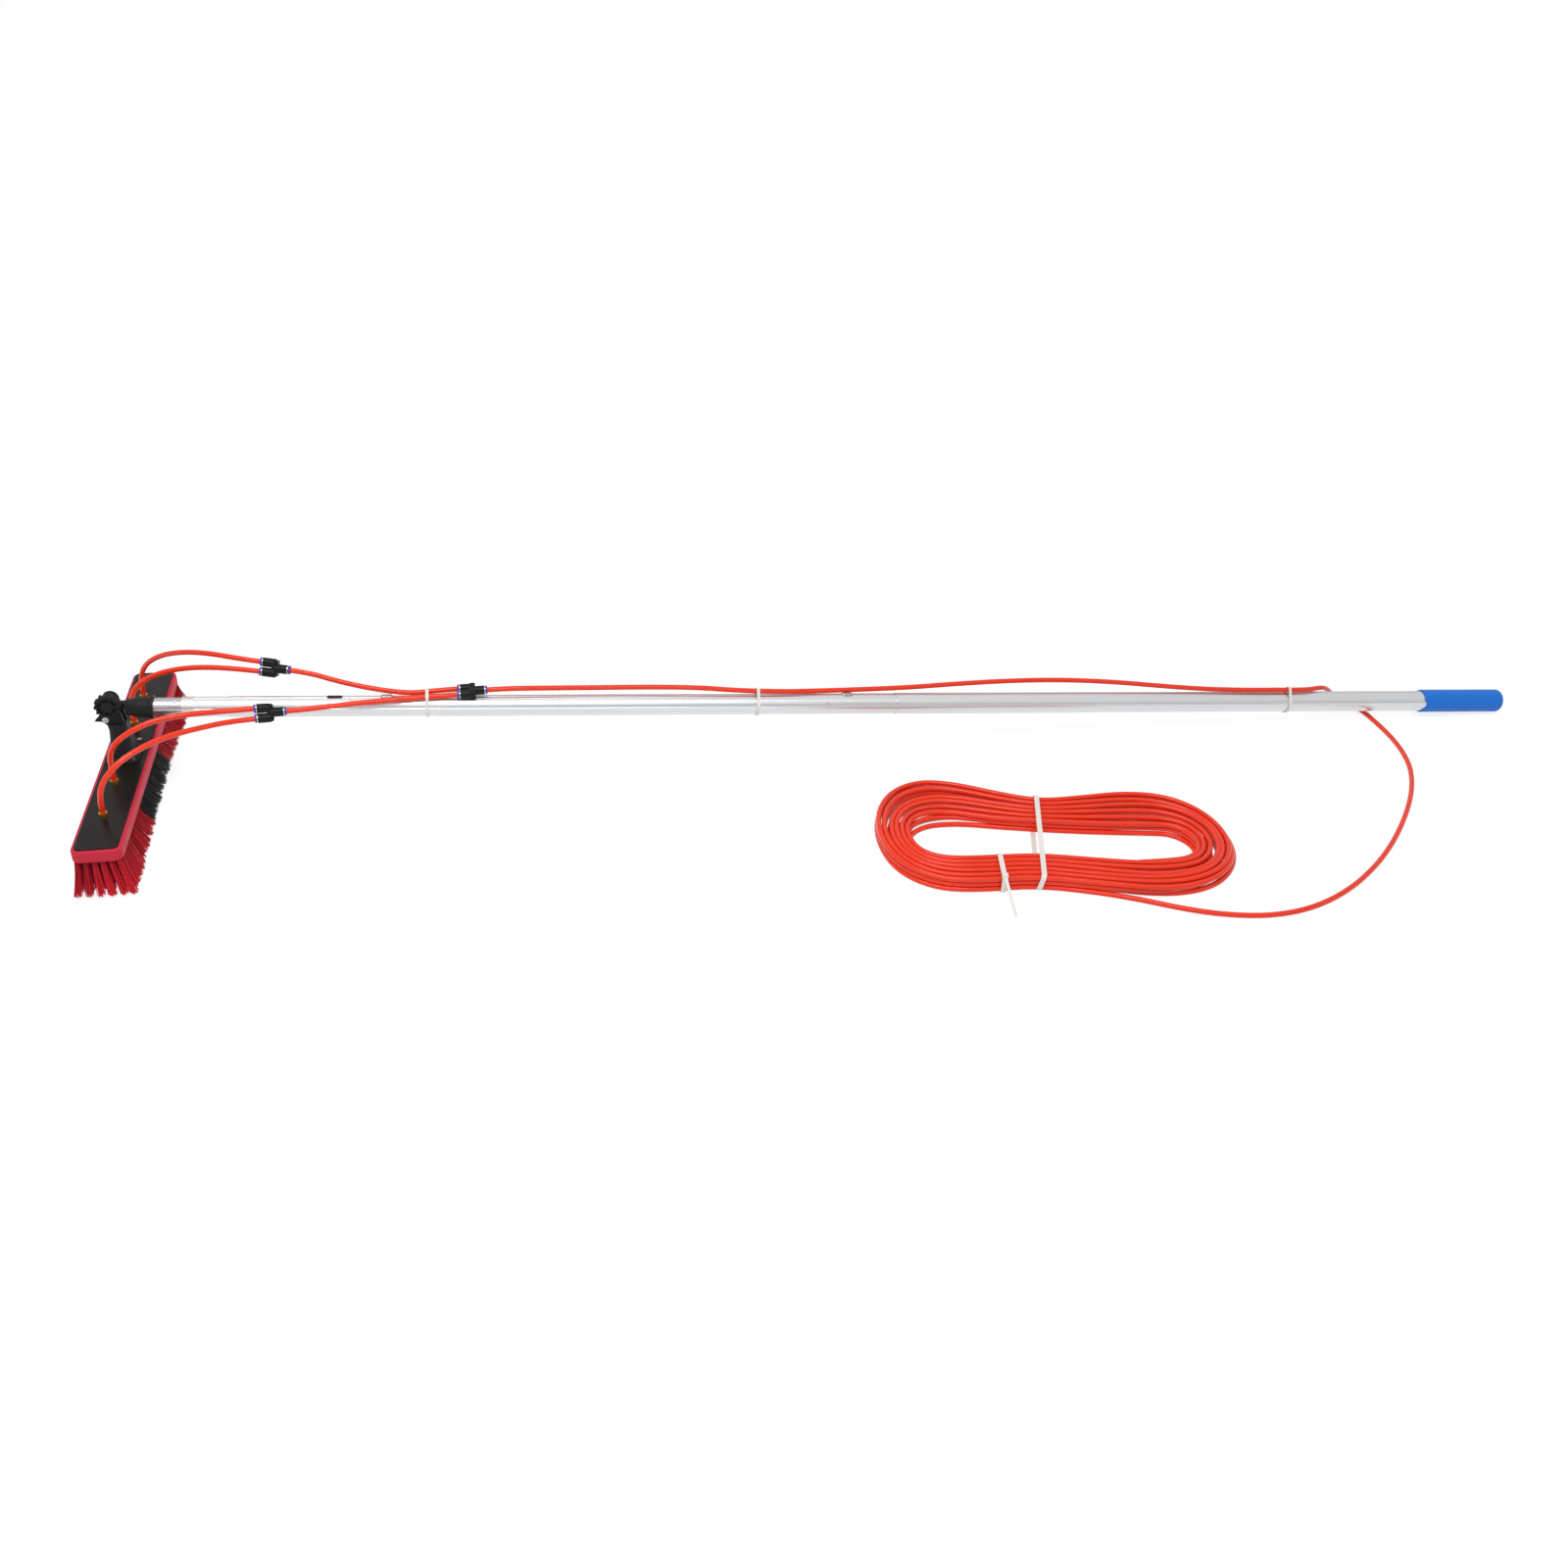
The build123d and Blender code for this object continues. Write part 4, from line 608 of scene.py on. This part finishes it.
def tuft_group():
    """Geometry nodes: rows of tufts, each of thin strands that spread towards their tips."""
    group = bpy.data.node_groups.new("brush_tufts", "GeometryNodeTree")
    face = group.interface
    for name in TUFT_LENGTHS:
        face.new_socket(name, in_out="INPUT", socket_type="NodeSocketFloat")
    for name in TUFT_COUNTS:
        face.new_socket(name, in_out="INPUT", socket_type="NodeSocketInt")
    face.new_socket("Material", in_out="INPUT", socket_type="NodeSocketMaterial")
    face.new_socket("Geometry", in_out="OUTPUT", socket_type="NodeSocketGeometry")
    given = node(group, "NodeGroupInput").outputs

    # The tufts' middles, then as many points on each as it has strands.
    reach = node(group, "ShaderNodeMath", {0: given["Root To"], 1: given["Root From"]}, operation="SUBTRACT")
    width = node(group, "ShaderNodeMath", {0: given["Root Half Width"], 1: 2.0}, operation="MULTIPLY")
    sizes = {
        "Size X": width.outputs[0], "Size Y": reach.outputs[0],
        "Vertices X": given["Rows"], "Vertices Y": given["Columns"],
    }
    grid = node(group, "GeometryNodeMeshGrid", sizes)
    points = node(group, "GeometryNodeMeshToPoints", {"Mesh": grid.outputs["Mesh"]})
    index = node(group, "GeometryNodeInputIndex").outputs[0]
    named = node(
        group, "GeometryNodeStoreNamedAttribute",
        {"Geometry": points.outputs[0], "Name": "tuft", "Value": index}, data_type="INT", domain="POINT",
    )
    many = node(
        group, "GeometryNodeDuplicateElements",
        {"Geometry": named.outputs[0], "Amount": given["Strands per Tuft"]}, domain="POINT",
    )
    tuft = node(group, "GeometryNodeInputNamedAttribute", {"Name": "tuft"}, data_type="INT").outputs[0]
    position = node(group, "GeometryNodeInputPosition").outputs[0]
    spot = node(group, "ShaderNodeSeparateXYZ", {"Vector": position}).outputs

    known = {name: given[name] for name in TUFT_LENGTHS}
    known.update({"spot x": spot["X"], "spot y": spot["Y"]})
    for name, low, high, drawn_for, salt in TUFT_DRAWS:
        seed = node(group, "ShaderNodeMath", {0: given["Seed"], 1: salt}, operation="ADD")
        identity = index if drawn_for == "strand" else tuft
        draw = {2: low, 3: high, 7: identity, 8: seed.outputs[0]}
        known[name] = node(group, "FunctionNodeRandomValue", draw, data_type="FLOAT").outputs[1]
    for name, operation, *terms in TUFT_SUMS:
        terms = {place: known.get(term, term) for place, term in enumerate(terms)}
        known[name] = node(group, "ShaderNodeMath", terms, operation=operation).outputs[0]

    # Along the brush the tips run from one end of their own field to the other.
    ends = {0: "along", 1: "Root From", 2: "Root To", 3: "Tip From", 4: "Tip To"}
    ends = {place: known[name] for place, name in ends.items()}
    tip_y = node(group, "ShaderNodeMapRange", ends, clamp=False).outputs[0]
    for share, size in (("disc y", "Tip Radius"), ("lean y", "Tuft Lean")):
        terms = {0: known[share], 1: known[size], 2: tip_y}
        tip_y = node(group, "ShaderNodeMath", terms, operation="MULTIPLY_ADD").outputs[0]
    root = {"X": known["root x"], "Y": known["root y"], "Z": given["Bristle Length"]}
    tip = {"X": known["tip x"], "Y": tip_y, "Z": known["tip z"]}
    root, tip = (node(group, "ShaderNodeCombineXYZ", place).outputs[0] for place in (root, tip))

    held = many.outputs[0]
    stored = (("root", "FLOAT_VECTOR", root), ("tip", "FLOAT_VECTOR", tip), ("tone", "FLOAT", known["tone"]))
    for name, kind, value in stored:
        held = node(
            group, "GeometryNodeStoreNamedAttribute", {"Geometry": held, "Name": name, "Value": value},
            data_type=kind, domain="POINT",
        ).outputs[0]
    # One straight line for each strand, laid from its root to its tip with a lean that grows.
    held = node(group, "GeometryNodeSetPosition", {"Geometry": held, "Position": (0.0, 0.0, 0.0)}).outputs[0]
    line = node(group, "GeometryNodeCurvePrimitiveLine", {"Start": (0.0, 0.0, 0.0), "End": (0.0, 0.0, 1.0)})
    line = node(group, "GeometryNodeResampleCurve", {"Curve": line.outputs[0], "Count": 4})
    strands = node(group, "GeometryNodeInstanceOnPoints", {"Points": held, "Instance": line.outputs[0]})
    strands = node(group, "GeometryNodeRealizeInstances", {"Geometry": strands.outputs[0]})
    down = node(group, "GeometryNodeSplineParameter").outputs["Factor"]
    spread = node(group, "ShaderNodeMath", {0: down, 1: SPREAD_POWER}, operation="POWER").outputs[0]
    factor = node(group, "ShaderNodeCombineXYZ", {"X": spread, "Y": spread, "Z": down}).outputs[0]
    from_root = node(group, "GeometryNodeInputNamedAttribute", {"Name": "root"}, data_type="FLOAT_VECTOR")
    to_tip = node(group, "GeometryNodeInputNamedAttribute", {"Name": "tip"}, data_type="FLOAT_VECTOR")
    between = node(
        group, "ShaderNodeMix", {1: factor, 4: from_root.outputs[0], 5: to_tip.outputs[0]},
        data_type="VECTOR", factor_mode="NON_UNIFORM",
    )
    places = {"Geometry": strands.outputs[0], "Position": between.outputs[1]}
    bent = node(group, "GeometryNodeSetPosition", places)
    ring = node(group, "GeometryNodeCurvePrimitiveCircle", {"Resolution": 3, "Radius": known["radius"]})
    solid = node(
        group, "GeometryNodeCurveToMesh",
        {"Curve": bent.outputs[0], "Profile Curve": ring.outputs[0], "Fill Caps": True},
    )
    smooth = node(group, "GeometryNodeSetShadeSmooth", {"Geometry": solid.outputs[0]})
    real = node(group, "GeometryNodeRealizeInstances", {"Geometry": smooth.outputs[0]})
    finish = {"Geometry": real.outputs[0], "Material": given["Material"]}
    painted = node(group, "GeometryNodeSetMaterial", finish)
    node(group, "NodeGroupOutput", {"Geometry": painted.outputs[0]})
    return group


# Each field: its name, finish, the node it replaces, its roots and its tips from and to along the
# brush, and its columns of tufts.
BRISTLE_FIELDS = (
    ("bristles_near", "red_bristle", "red_bristles", (-0.2475, -0.1195), (-0.2585, -0.0905), 13),
    ("bristles_middle", "black_bristle", "black_bristles", (-0.1095, 0.0395), (-0.0805, 0.0805), 15),
    ("bristles_far", "red_bristle", "red_bristles", (0.0495, 0.2475), (0.0905, 0.2635), 20),
)
TUFT_SIZES = {
    "Root Half Width": 0.0265, "Tip Half Width": 0.0308, "Tuft Radius": 0.0032, "Tip Radius": 0.0058,
    "Tuft Lean": 0.0018, "Ragged Tips": 0.0062, "Side Flare": 0.003, "Corner Flare": 0.006,
}
# How deep the strands stand in the block.
ROOT_DEPTH = 0.001


class POLE_OT_bristles(bpy.types.Operator):
    """Build the brush's bristles, in two colours"""

    bl_idname = "pole.bristles"
    bl_label = "Bristles"

    def execute(self, context):
        look = context.scene.pole_bristles
        group = tuft_group()
        for name, slot, replaced, roots, tips, columns in BRISTLE_FIELDS:
            holder = bpy.data.objects.new("holder", bpy.data.meshes.new("holder"))
            context.scene.collection.objects.link(holder)
            values = {
                "Root From": roots[0], "Root To": roots[1], "Tip From": tips[0], "Tip To": tips[1],
                "Bristle Length": look.length + ROOT_DEPTH, "Strand Thickness": look.strand,
                "Rows": look.rows, "Columns": columns, "Strands per Tuft": look.strands,
                "Seed": look.seed + columns, "Material": finish_of(slot), **TUFT_SIZES,
            }
            made = bake(holder, name, group, values)
            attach(made, "head")
            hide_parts(replaced)
        return {"FINISHED"}


# ---------------------------------------------------------------- hoses
# Each feed hose left off every body: the two bodies it runs between and its span along the pole, between two
# ties. Only that an entry is given is read.
UPPER_FEED_BLEND = ("top", "middle", 600.0, 930.0)
LOWER_FEED_BLEND = ("middle", "butt", 990.0, 1828.0)


def finish_hose(made, body=None):
    """Gives a hose its finish, and its body when one is given."""
    made.data.materials.append(finish_of("hose"))
    if body:
        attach(made, body)


class POLE_OT_branch_hoses(bpy.types.Operator):
    """Build the four hoses from the brush's barbs to the two rear fittings"""

    bl_idname = "pole.branch_hoses"
    bl_label = "Branch Hoses"

    def execute(self, context):
        sizes = context.scene.pole_hoses
        ends = (("rear_y", 0), ("rear_y", 1), ("front_y", 0), ("front_y", 1))
        for (name, route), y, end in zip(BRANCH_ROUTES.items(), BARBS_Y, ends):
            foot = [Vector((BARB_X, y, BARB_TOP)) * MM, Vector((BARB_X, y, BRANCH_RISE)) * MM]
            line = line_of(foot + [beside_pole(*p) for p in route + port_points(*end)])
            made = tube_along(name + "_skin", line, sizes.diameter / 2, sizes.bore / 2)
            finish_hose(made)
            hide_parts(name)
            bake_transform(made)
        return {"FINISHED"}


class POLE_OT_pole_hoses(bpy.types.Operator):
    """Build the hoses that lie along the pole"""

    bl_idname = "pole.pole_hoses"
    bl_label = "Hoses Along the Pole"

    def execute(self, context):
        sizes = context.scene.pole_hoses
        leaving = {name: port_points(name, 2)[::-1] for name in FITTINGS}
        rear = leaving["rear_y"] + LINK_REAR_ROUTE + port_points("joining_y", 0)
        front = leaving["front_y"] + LINK_FRONT_ROUTE + port_points("joining_y", 1)
        runs = (
            ("link_hose_rear", rear, None),
            ("link_hose_front", front, None),
            ("feed_hose_upper", leaving["joining_y"] + UPPER_FEED_ROUTE, UPPER_FEED_BLEND),
            ("feed_hose_lower", LOWER_FEED_ROUTE, LOWER_FEED_BLEND),
        )
        for name, route, span in runs:
            line = line_of([beside_pole(*p) for p in route])
            made = tube_along(name + "_skin", line, sizes.diameter / 2, sizes.bore / 2)
            finish_hose(made, None if span else "top")
            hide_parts(name)
            if span:
                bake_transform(made)
        return {"FINISHED"}


# Steps from one control point to the next, in the length's measure and in the drawn hose, and the
# steps round a quarter of the hose.
MEASURED_STEPS = 8
DRAWN_STEPS = 5
ROUND_STEPS = 4
# The hank's two ends, as stations, and how many stations their looser turns reach.
LEFT_END, RIGHT_END = 5, 17
LOOSE_REACH = 5.0
# The last stations of a turn, over which it moves to the next turn's place.
MOVING_STATIONS = 5
# A layer lies a little lower than its strands' pitch, in the hollows of the one below.
LAYER_PITCH = 0.97
# Shares of the slack: the middle layer's drawing in, how much further out each layer lies at the
# hank's ends, on its outer and on its inner edge, and the turns' wave.
DRAWN_IN = 0.35
OUTER_RIGHT, OUTER_LEFT = 0.55, 0.1
INNER_RIGHT, INNER_LEFT = 0.05, 0.5
WAVE = 0.3


def near_station(station, middle, reach):
    """1 at the middle station and 0 from reach stations away, counted round the hank."""
    count = len(HANK_STATIONS)
    away = abs((station - middle + count / 2) % count - count / 2)
    return cos(min(away / reach, 1.0) * pi / 2) ** 2


def hank_points(columns, layers, pitch, seed):
    """Control points of the hank's turns: one strand wound column by column and layer by layer."""
    scatter = random.Random(seed)
    count = len(HANK_STATIONS)
    turns = columns * layers
    slots = []
    for turn in range(turns + 1):
        layer = min(turn // columns, layers - 1)
        place = turn - layer * columns
        slots.append((place if layer % 2 == 0 else columns - 1 - place, layer))
    loose = [[scatter.uniform(-1.0, 1.0) for _ in range(2)] for _ in range(turns + 1)]
    points = []
    for turn in range(turns):
        for station, (outer, inner) in enumerate(HANK_STATIONS):
            share = max(0.0, (station - count + MOVING_STATIONS) / MOVING_STATIONS)
            here, after = slots[turn], slots[min(turn + 1, turns - 1)]
            column = here[0] + (after[0] - here[0]) * share
            layer = here[1] + (after[1] - here[1]) * share
            width = hypot(outer[0] - inner[0], outer[1] - inner[1])
            slack = max(0.0, width - columns * pitch)
            # Each layer draws in by its own share of the slack where the hank is loose.
            height = layer / max(1, layers - 1)
            left = near_station(station, LEFT_END, LOOSE_REACH)
            right = near_station(station, RIGHT_END, LOOSE_REACH)
            drawn_in = DRAWN_IN * slack / columns * (1.0 - abs(layer - 1.0))
            low = pitch / 2 + drawn_in + slack * height * (OUTER_RIGHT * right + OUTER_LEFT * left)
            high = width - pitch / 2 - drawn_in - slack * height * (INNER_RIGHT * right + INNER_LEFT * left)
            across = low + (high - low) * column / (columns - 1)
            wave = sin(2 * pi * station / count + 3 * loose[turn][0]) * loose[turn][1]
            across += wave * WAVE * slack * (1.0 - abs(2 * column / (columns - 1) - 1.0))
            at = Vector(outer).lerp(Vector(inner), across / width)
            rise = HOSE_LIES_AT + layer * pitch * LAYER_PITCH
            points.append(Vector((at.x, at.y, rise)) * MM)
    return points


class POLE_OT_supply_hose(bpy.types.Operator):
    """Build the supply hose: the lead from the last tie and the tied hank"""

    bl_idname = "pole.supply_hose"
    bl_label = "Supply Hose"

    def execute(self, context):
        sizes = context.scene.pole_hoses
        pitch = sizes.diameter / MM + STRAND_GAP
        lead = [beside_pole(*p) for p in LEAD_START]
        lead += [Vector((x, y, HOSE_LIES_AT + rise)) * MM for x, y, rise in LEAD_ON_FLOOR]
        hank = hank_points(sizes.columns, sizes.layers, pitch, sizes.seed)
        length = length_of(line_of(lead + hank, MEASURED_STEPS))
        made = spline_through("supply_hose", lead + hank, DRAWN_STEPS)
        made.data.bevel_depth = sizes.diameter / 2
        made.data.bevel_resolution = ROUND_STEPS
        made.data.use_fill_caps = True
        finish_hose(made, "butt")
        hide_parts("lead_hose", "hose_hank")
        print(f"supply hose {length:.2f} m")
        return {"FINISHED"}


# ---------------------------------------------------------------- finishes on the carried-over nodes
class POLE_OT_finishes(bpy.types.Operator):
    """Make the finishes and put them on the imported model's nodes"""

    bl_idname = "pole.finishes"
    bl_label = "Finishes"

    def execute(self, context):
        made = make_finishes(context.scene.pole_colours)
        FINISH_NAMES.update({slot: material.name for slot, material in made.items()})
        for part in frame["record"]["subparts"]:
            shown = frame["nodes"][part["node"]]
            for slot in shown.material_slots:
                slot.material = made[part["material_slot"]]
            if not shown.material_slots:
                shown.data.materials.append(made[part["material_slot"]])
        return {"FINISHED"}


# ---------------------------------------------------------------- stage
CAMERA_AT = (0.5543, -2.0378, 1.2588)
CAMERA_YAW = radians(11.968)
CAMERA_PITCH = radians(32.283)
CAMERA_ROLL = radians(2.692)
SENSOR_WIDTH = 36.0
CLIP_END = 100.0
FLOOR_HALF = 30.0
FLOOR_GREY = (0.8, 0.8, 0.8, 1.0)
# What the camera and reflections see of the floor: its shadow on a dimmer grey, and a glow.
SEEN_GREY = (0.34, 0.34, 0.34, 1.0)
SEEN_GLOW = 0.8
# The room in reflections, by height: a duller band over the white floor, and a bright ceiling.
ROOM_LEVELS = ((0.1, 0.5), (0.3, 0.6), (0.6, 0.85), (0.96, 0.97))
HORIZON_LEVEL = (0.8, 0.8, 0.8, 1.0)
LAMP_SIZE = (2.6, 0.8)
LAMP_AT = (0.2, -1.2, 2.8)
LAMP_AIM = (1.0, 0.0, 0.0)


def seen_rays(tree):
    """1 for camera, glossy and transmission rays, 0 for the light on the object."""
    path = node(tree, "ShaderNodeLightPath").outputs
    seen = path["Is Camera Ray"]
    for ray in ("Is Glossy Ray", "Is Transmission Ray"):
        seen = node(tree, "ShaderNodeMath", {0: seen, 1: path[ray]}, operation="MAXIMUM").outputs[0]
    return seen


class POLE_OT_stage(bpy.types.Operator):
    """Build the floor, the light and the camera"""

    bl_idname = "pole.stage"
    bl_label = "Stage"

    def execute(self, context):
        scene = context.scene
        look = scene.pole_stage
        mesh = bmesh.new()
        bmesh.ops.create_grid(mesh, x_segments=1, y_segments=1, size=FLOOR_HALF)
        data = bpy.data.meshes.new("floor")
        mesh.to_mesh(data)
        mesh.free()
        floor = bpy.data.objects.new("floor", data)
        scene.collection.objects.link(floor)
        material = bpy.data.materials.new("pale_floor")
        material.use_nodes = True
        tree = material.node_tree
        tree.nodes.clear()
        real = node(tree, "ShaderNodeBsdfDiffuse", {"Color": FLOOR_GREY})
        pale = node(tree, "ShaderNodeBsdfDiffuse", {"Color": SEEN_GREY})
        glow = node(tree, "ShaderNodeEmission", {"Color": WHITE, "Strength": SEEN_GLOW})
        seen = node(tree, "ShaderNodeAddShader", {0: pale.outputs[0], 1: glow.outputs[0]})
        choice = {0: seen_rays(tree), 1: real.outputs[0], 2: seen.outputs[0]}
        mixed = node(tree, "ShaderNodeMixShader", choice)
        node(tree, "ShaderNodeOutputMaterial", {"Surface": mixed.outputs[0]})
        data.materials.append(material)

        world = bpy.data.worlds.new("studio")
        world.use_nodes = True
        tree = world.node_tree
        tree.nodes.clear()
        light = node(tree, "ShaderNodeBackground", {"Color": WHITE, "Strength": look.sky})
        path = node(tree, "ShaderNodeLightPath").outputs
        way = node(tree, "ShaderNodeTexCoord").outputs["Generated"]
        height = node(tree, "ShaderNodeSeparateXYZ", {"Vector": way}).outputs["Z"]
        room = node(tree, "ShaderNodeValToRGB", {0: height})
        ramp = room.color_ramp
        for place, level in ROOM_LEVELS:
            stop = ramp.elements.new(place)
            stop.color = (level, level, level, 1.0)
        ramp.elements[0].color = HORIZON_LEVEL
        shiny = {0: path["Is Glossy Ray"], 6: WHITE, 7: room.outputs[0]}
        shiny = node(tree, "ShaderNodeMix", shiny, data_type="RGBA")
        backdrop = node(tree, "ShaderNodeBackground", {"Color": shiny.outputs[2], "Strength": 1.0})
        choice = {0: seen_rays(tree), 1: light.outputs[0], 2: backdrop.outputs[0]}
        both = node(tree, "ShaderNodeMixShader", choice)
        node(tree, "ShaderNodeOutputWorld", {"Surface": both.outputs[0]})
        scene.world = world

        lamp = bpy.data.lights.new("key", "AREA")
        lamp.shape = "RECTANGLE"
        lamp.size, lamp.size_y = LAMP_SIZE
        lamp.energy = look.key
        key = bpy.data.objects.new("key", lamp)
        key.location = LAMP_AT
        key.rotation_euler = (Vector(LAMP_AIM) - key.location).to_track_quat("-Z", "Y").to_euler()
        scene.collection.objects.link(key)

        camera_data = bpy.data.cameras.new("camera")
        camera_data.lens = look.lens
        camera_data.sensor_width = SENSOR_WIDTH
        camera_data.clip_end = CLIP_END
        camera = bpy.data.objects.new("camera", camera_data)
        forward = Vector(
            (sin(CAMERA_YAW) * cos(CAMERA_PITCH), cos(CAMERA_YAW) * cos(CAMERA_PITCH), -sin(CAMERA_PITCH))
        )
        level = Vector((cos(CAMERA_YAW), -sin(CAMERA_YAW), 0.0))
        upright = level.cross(forward)
        right = level * cos(CAMERA_ROLL) + upright * sin(CAMERA_ROLL)
        above = upright * cos(CAMERA_ROLL) - level * sin(CAMERA_ROLL)
        turn = Matrix((right, above, -forward)).transposed()
        camera.matrix_world = Matrix.Translation(CAMERA_AT) @ turn.to_4x4()
        scene.collection.objects.link(camera)
        scene.camera = camera
        scene.view_settings.view_transform = "Standard"
        return {"FINISHED"}


# ---------------------------------------------------------------- panel and registration
STEPS = ("finishes", "bristles", "branch_hoses", "pole_hoses", "supply_hose", "stage")


class POLE_PT_panel(bpy.types.Panel):
    """Lists the steps and the settings"""

    bl_idname = "POLE_PT_panel"
    bl_label = "Window Cleaning Pole"
    bl_space_type = "VIEW_3D"
    bl_region_type = "UI"
    bl_category = "Pole"

    def draw(self, context):
        for step in STEPS:
            self.layout.operator("pole." + step)
        for settings in ("pole_colours", "pole_bristles", "pole_hoses", "pole_stage"):
            column = self.layout.column(align=True)
            group = getattr(context.scene, settings)
            for name in group.__annotations__:
                column.prop(group, name)


GROUPS = {
    "pole_colours": PoleColours,
    "pole_bristles": BristleSettings,
    "pole_hoses": HoseSettings,
    "pole_stage": StageSettings,
}
OPERATORS = (
    POLE_OT_finishes,
    POLE_OT_bristles,
    POLE_OT_branch_hoses,
    POLE_OT_pole_hoses,
    POLE_OT_supply_hose,
    POLE_OT_stage,
)


def register():
    for name, group in GROUPS.items():
        bpy.utils.register_class(group)
        setattr(bpy.types.Scene, name, bpy.props.PointerProperty(type=group))
    for operator in OPERATORS:
        bpy.utils.register_class(operator)
    bpy.utils.register_class(POLE_PT_panel)


def unregister():
    bpy.utils.unregister_class(POLE_PT_panel)
    for operator in reversed(OPERATORS):
        bpy.utils.unregister_class(operator)
    for name, group in GROUPS.items():
        delattr(bpy.types.Scene, name)
        bpy.utils.unregister_class(group)


def main():
    register()
    for step in STEPS:
        getattr(bpy.ops.pole, step)()


if __name__ == "__main__":
    main()
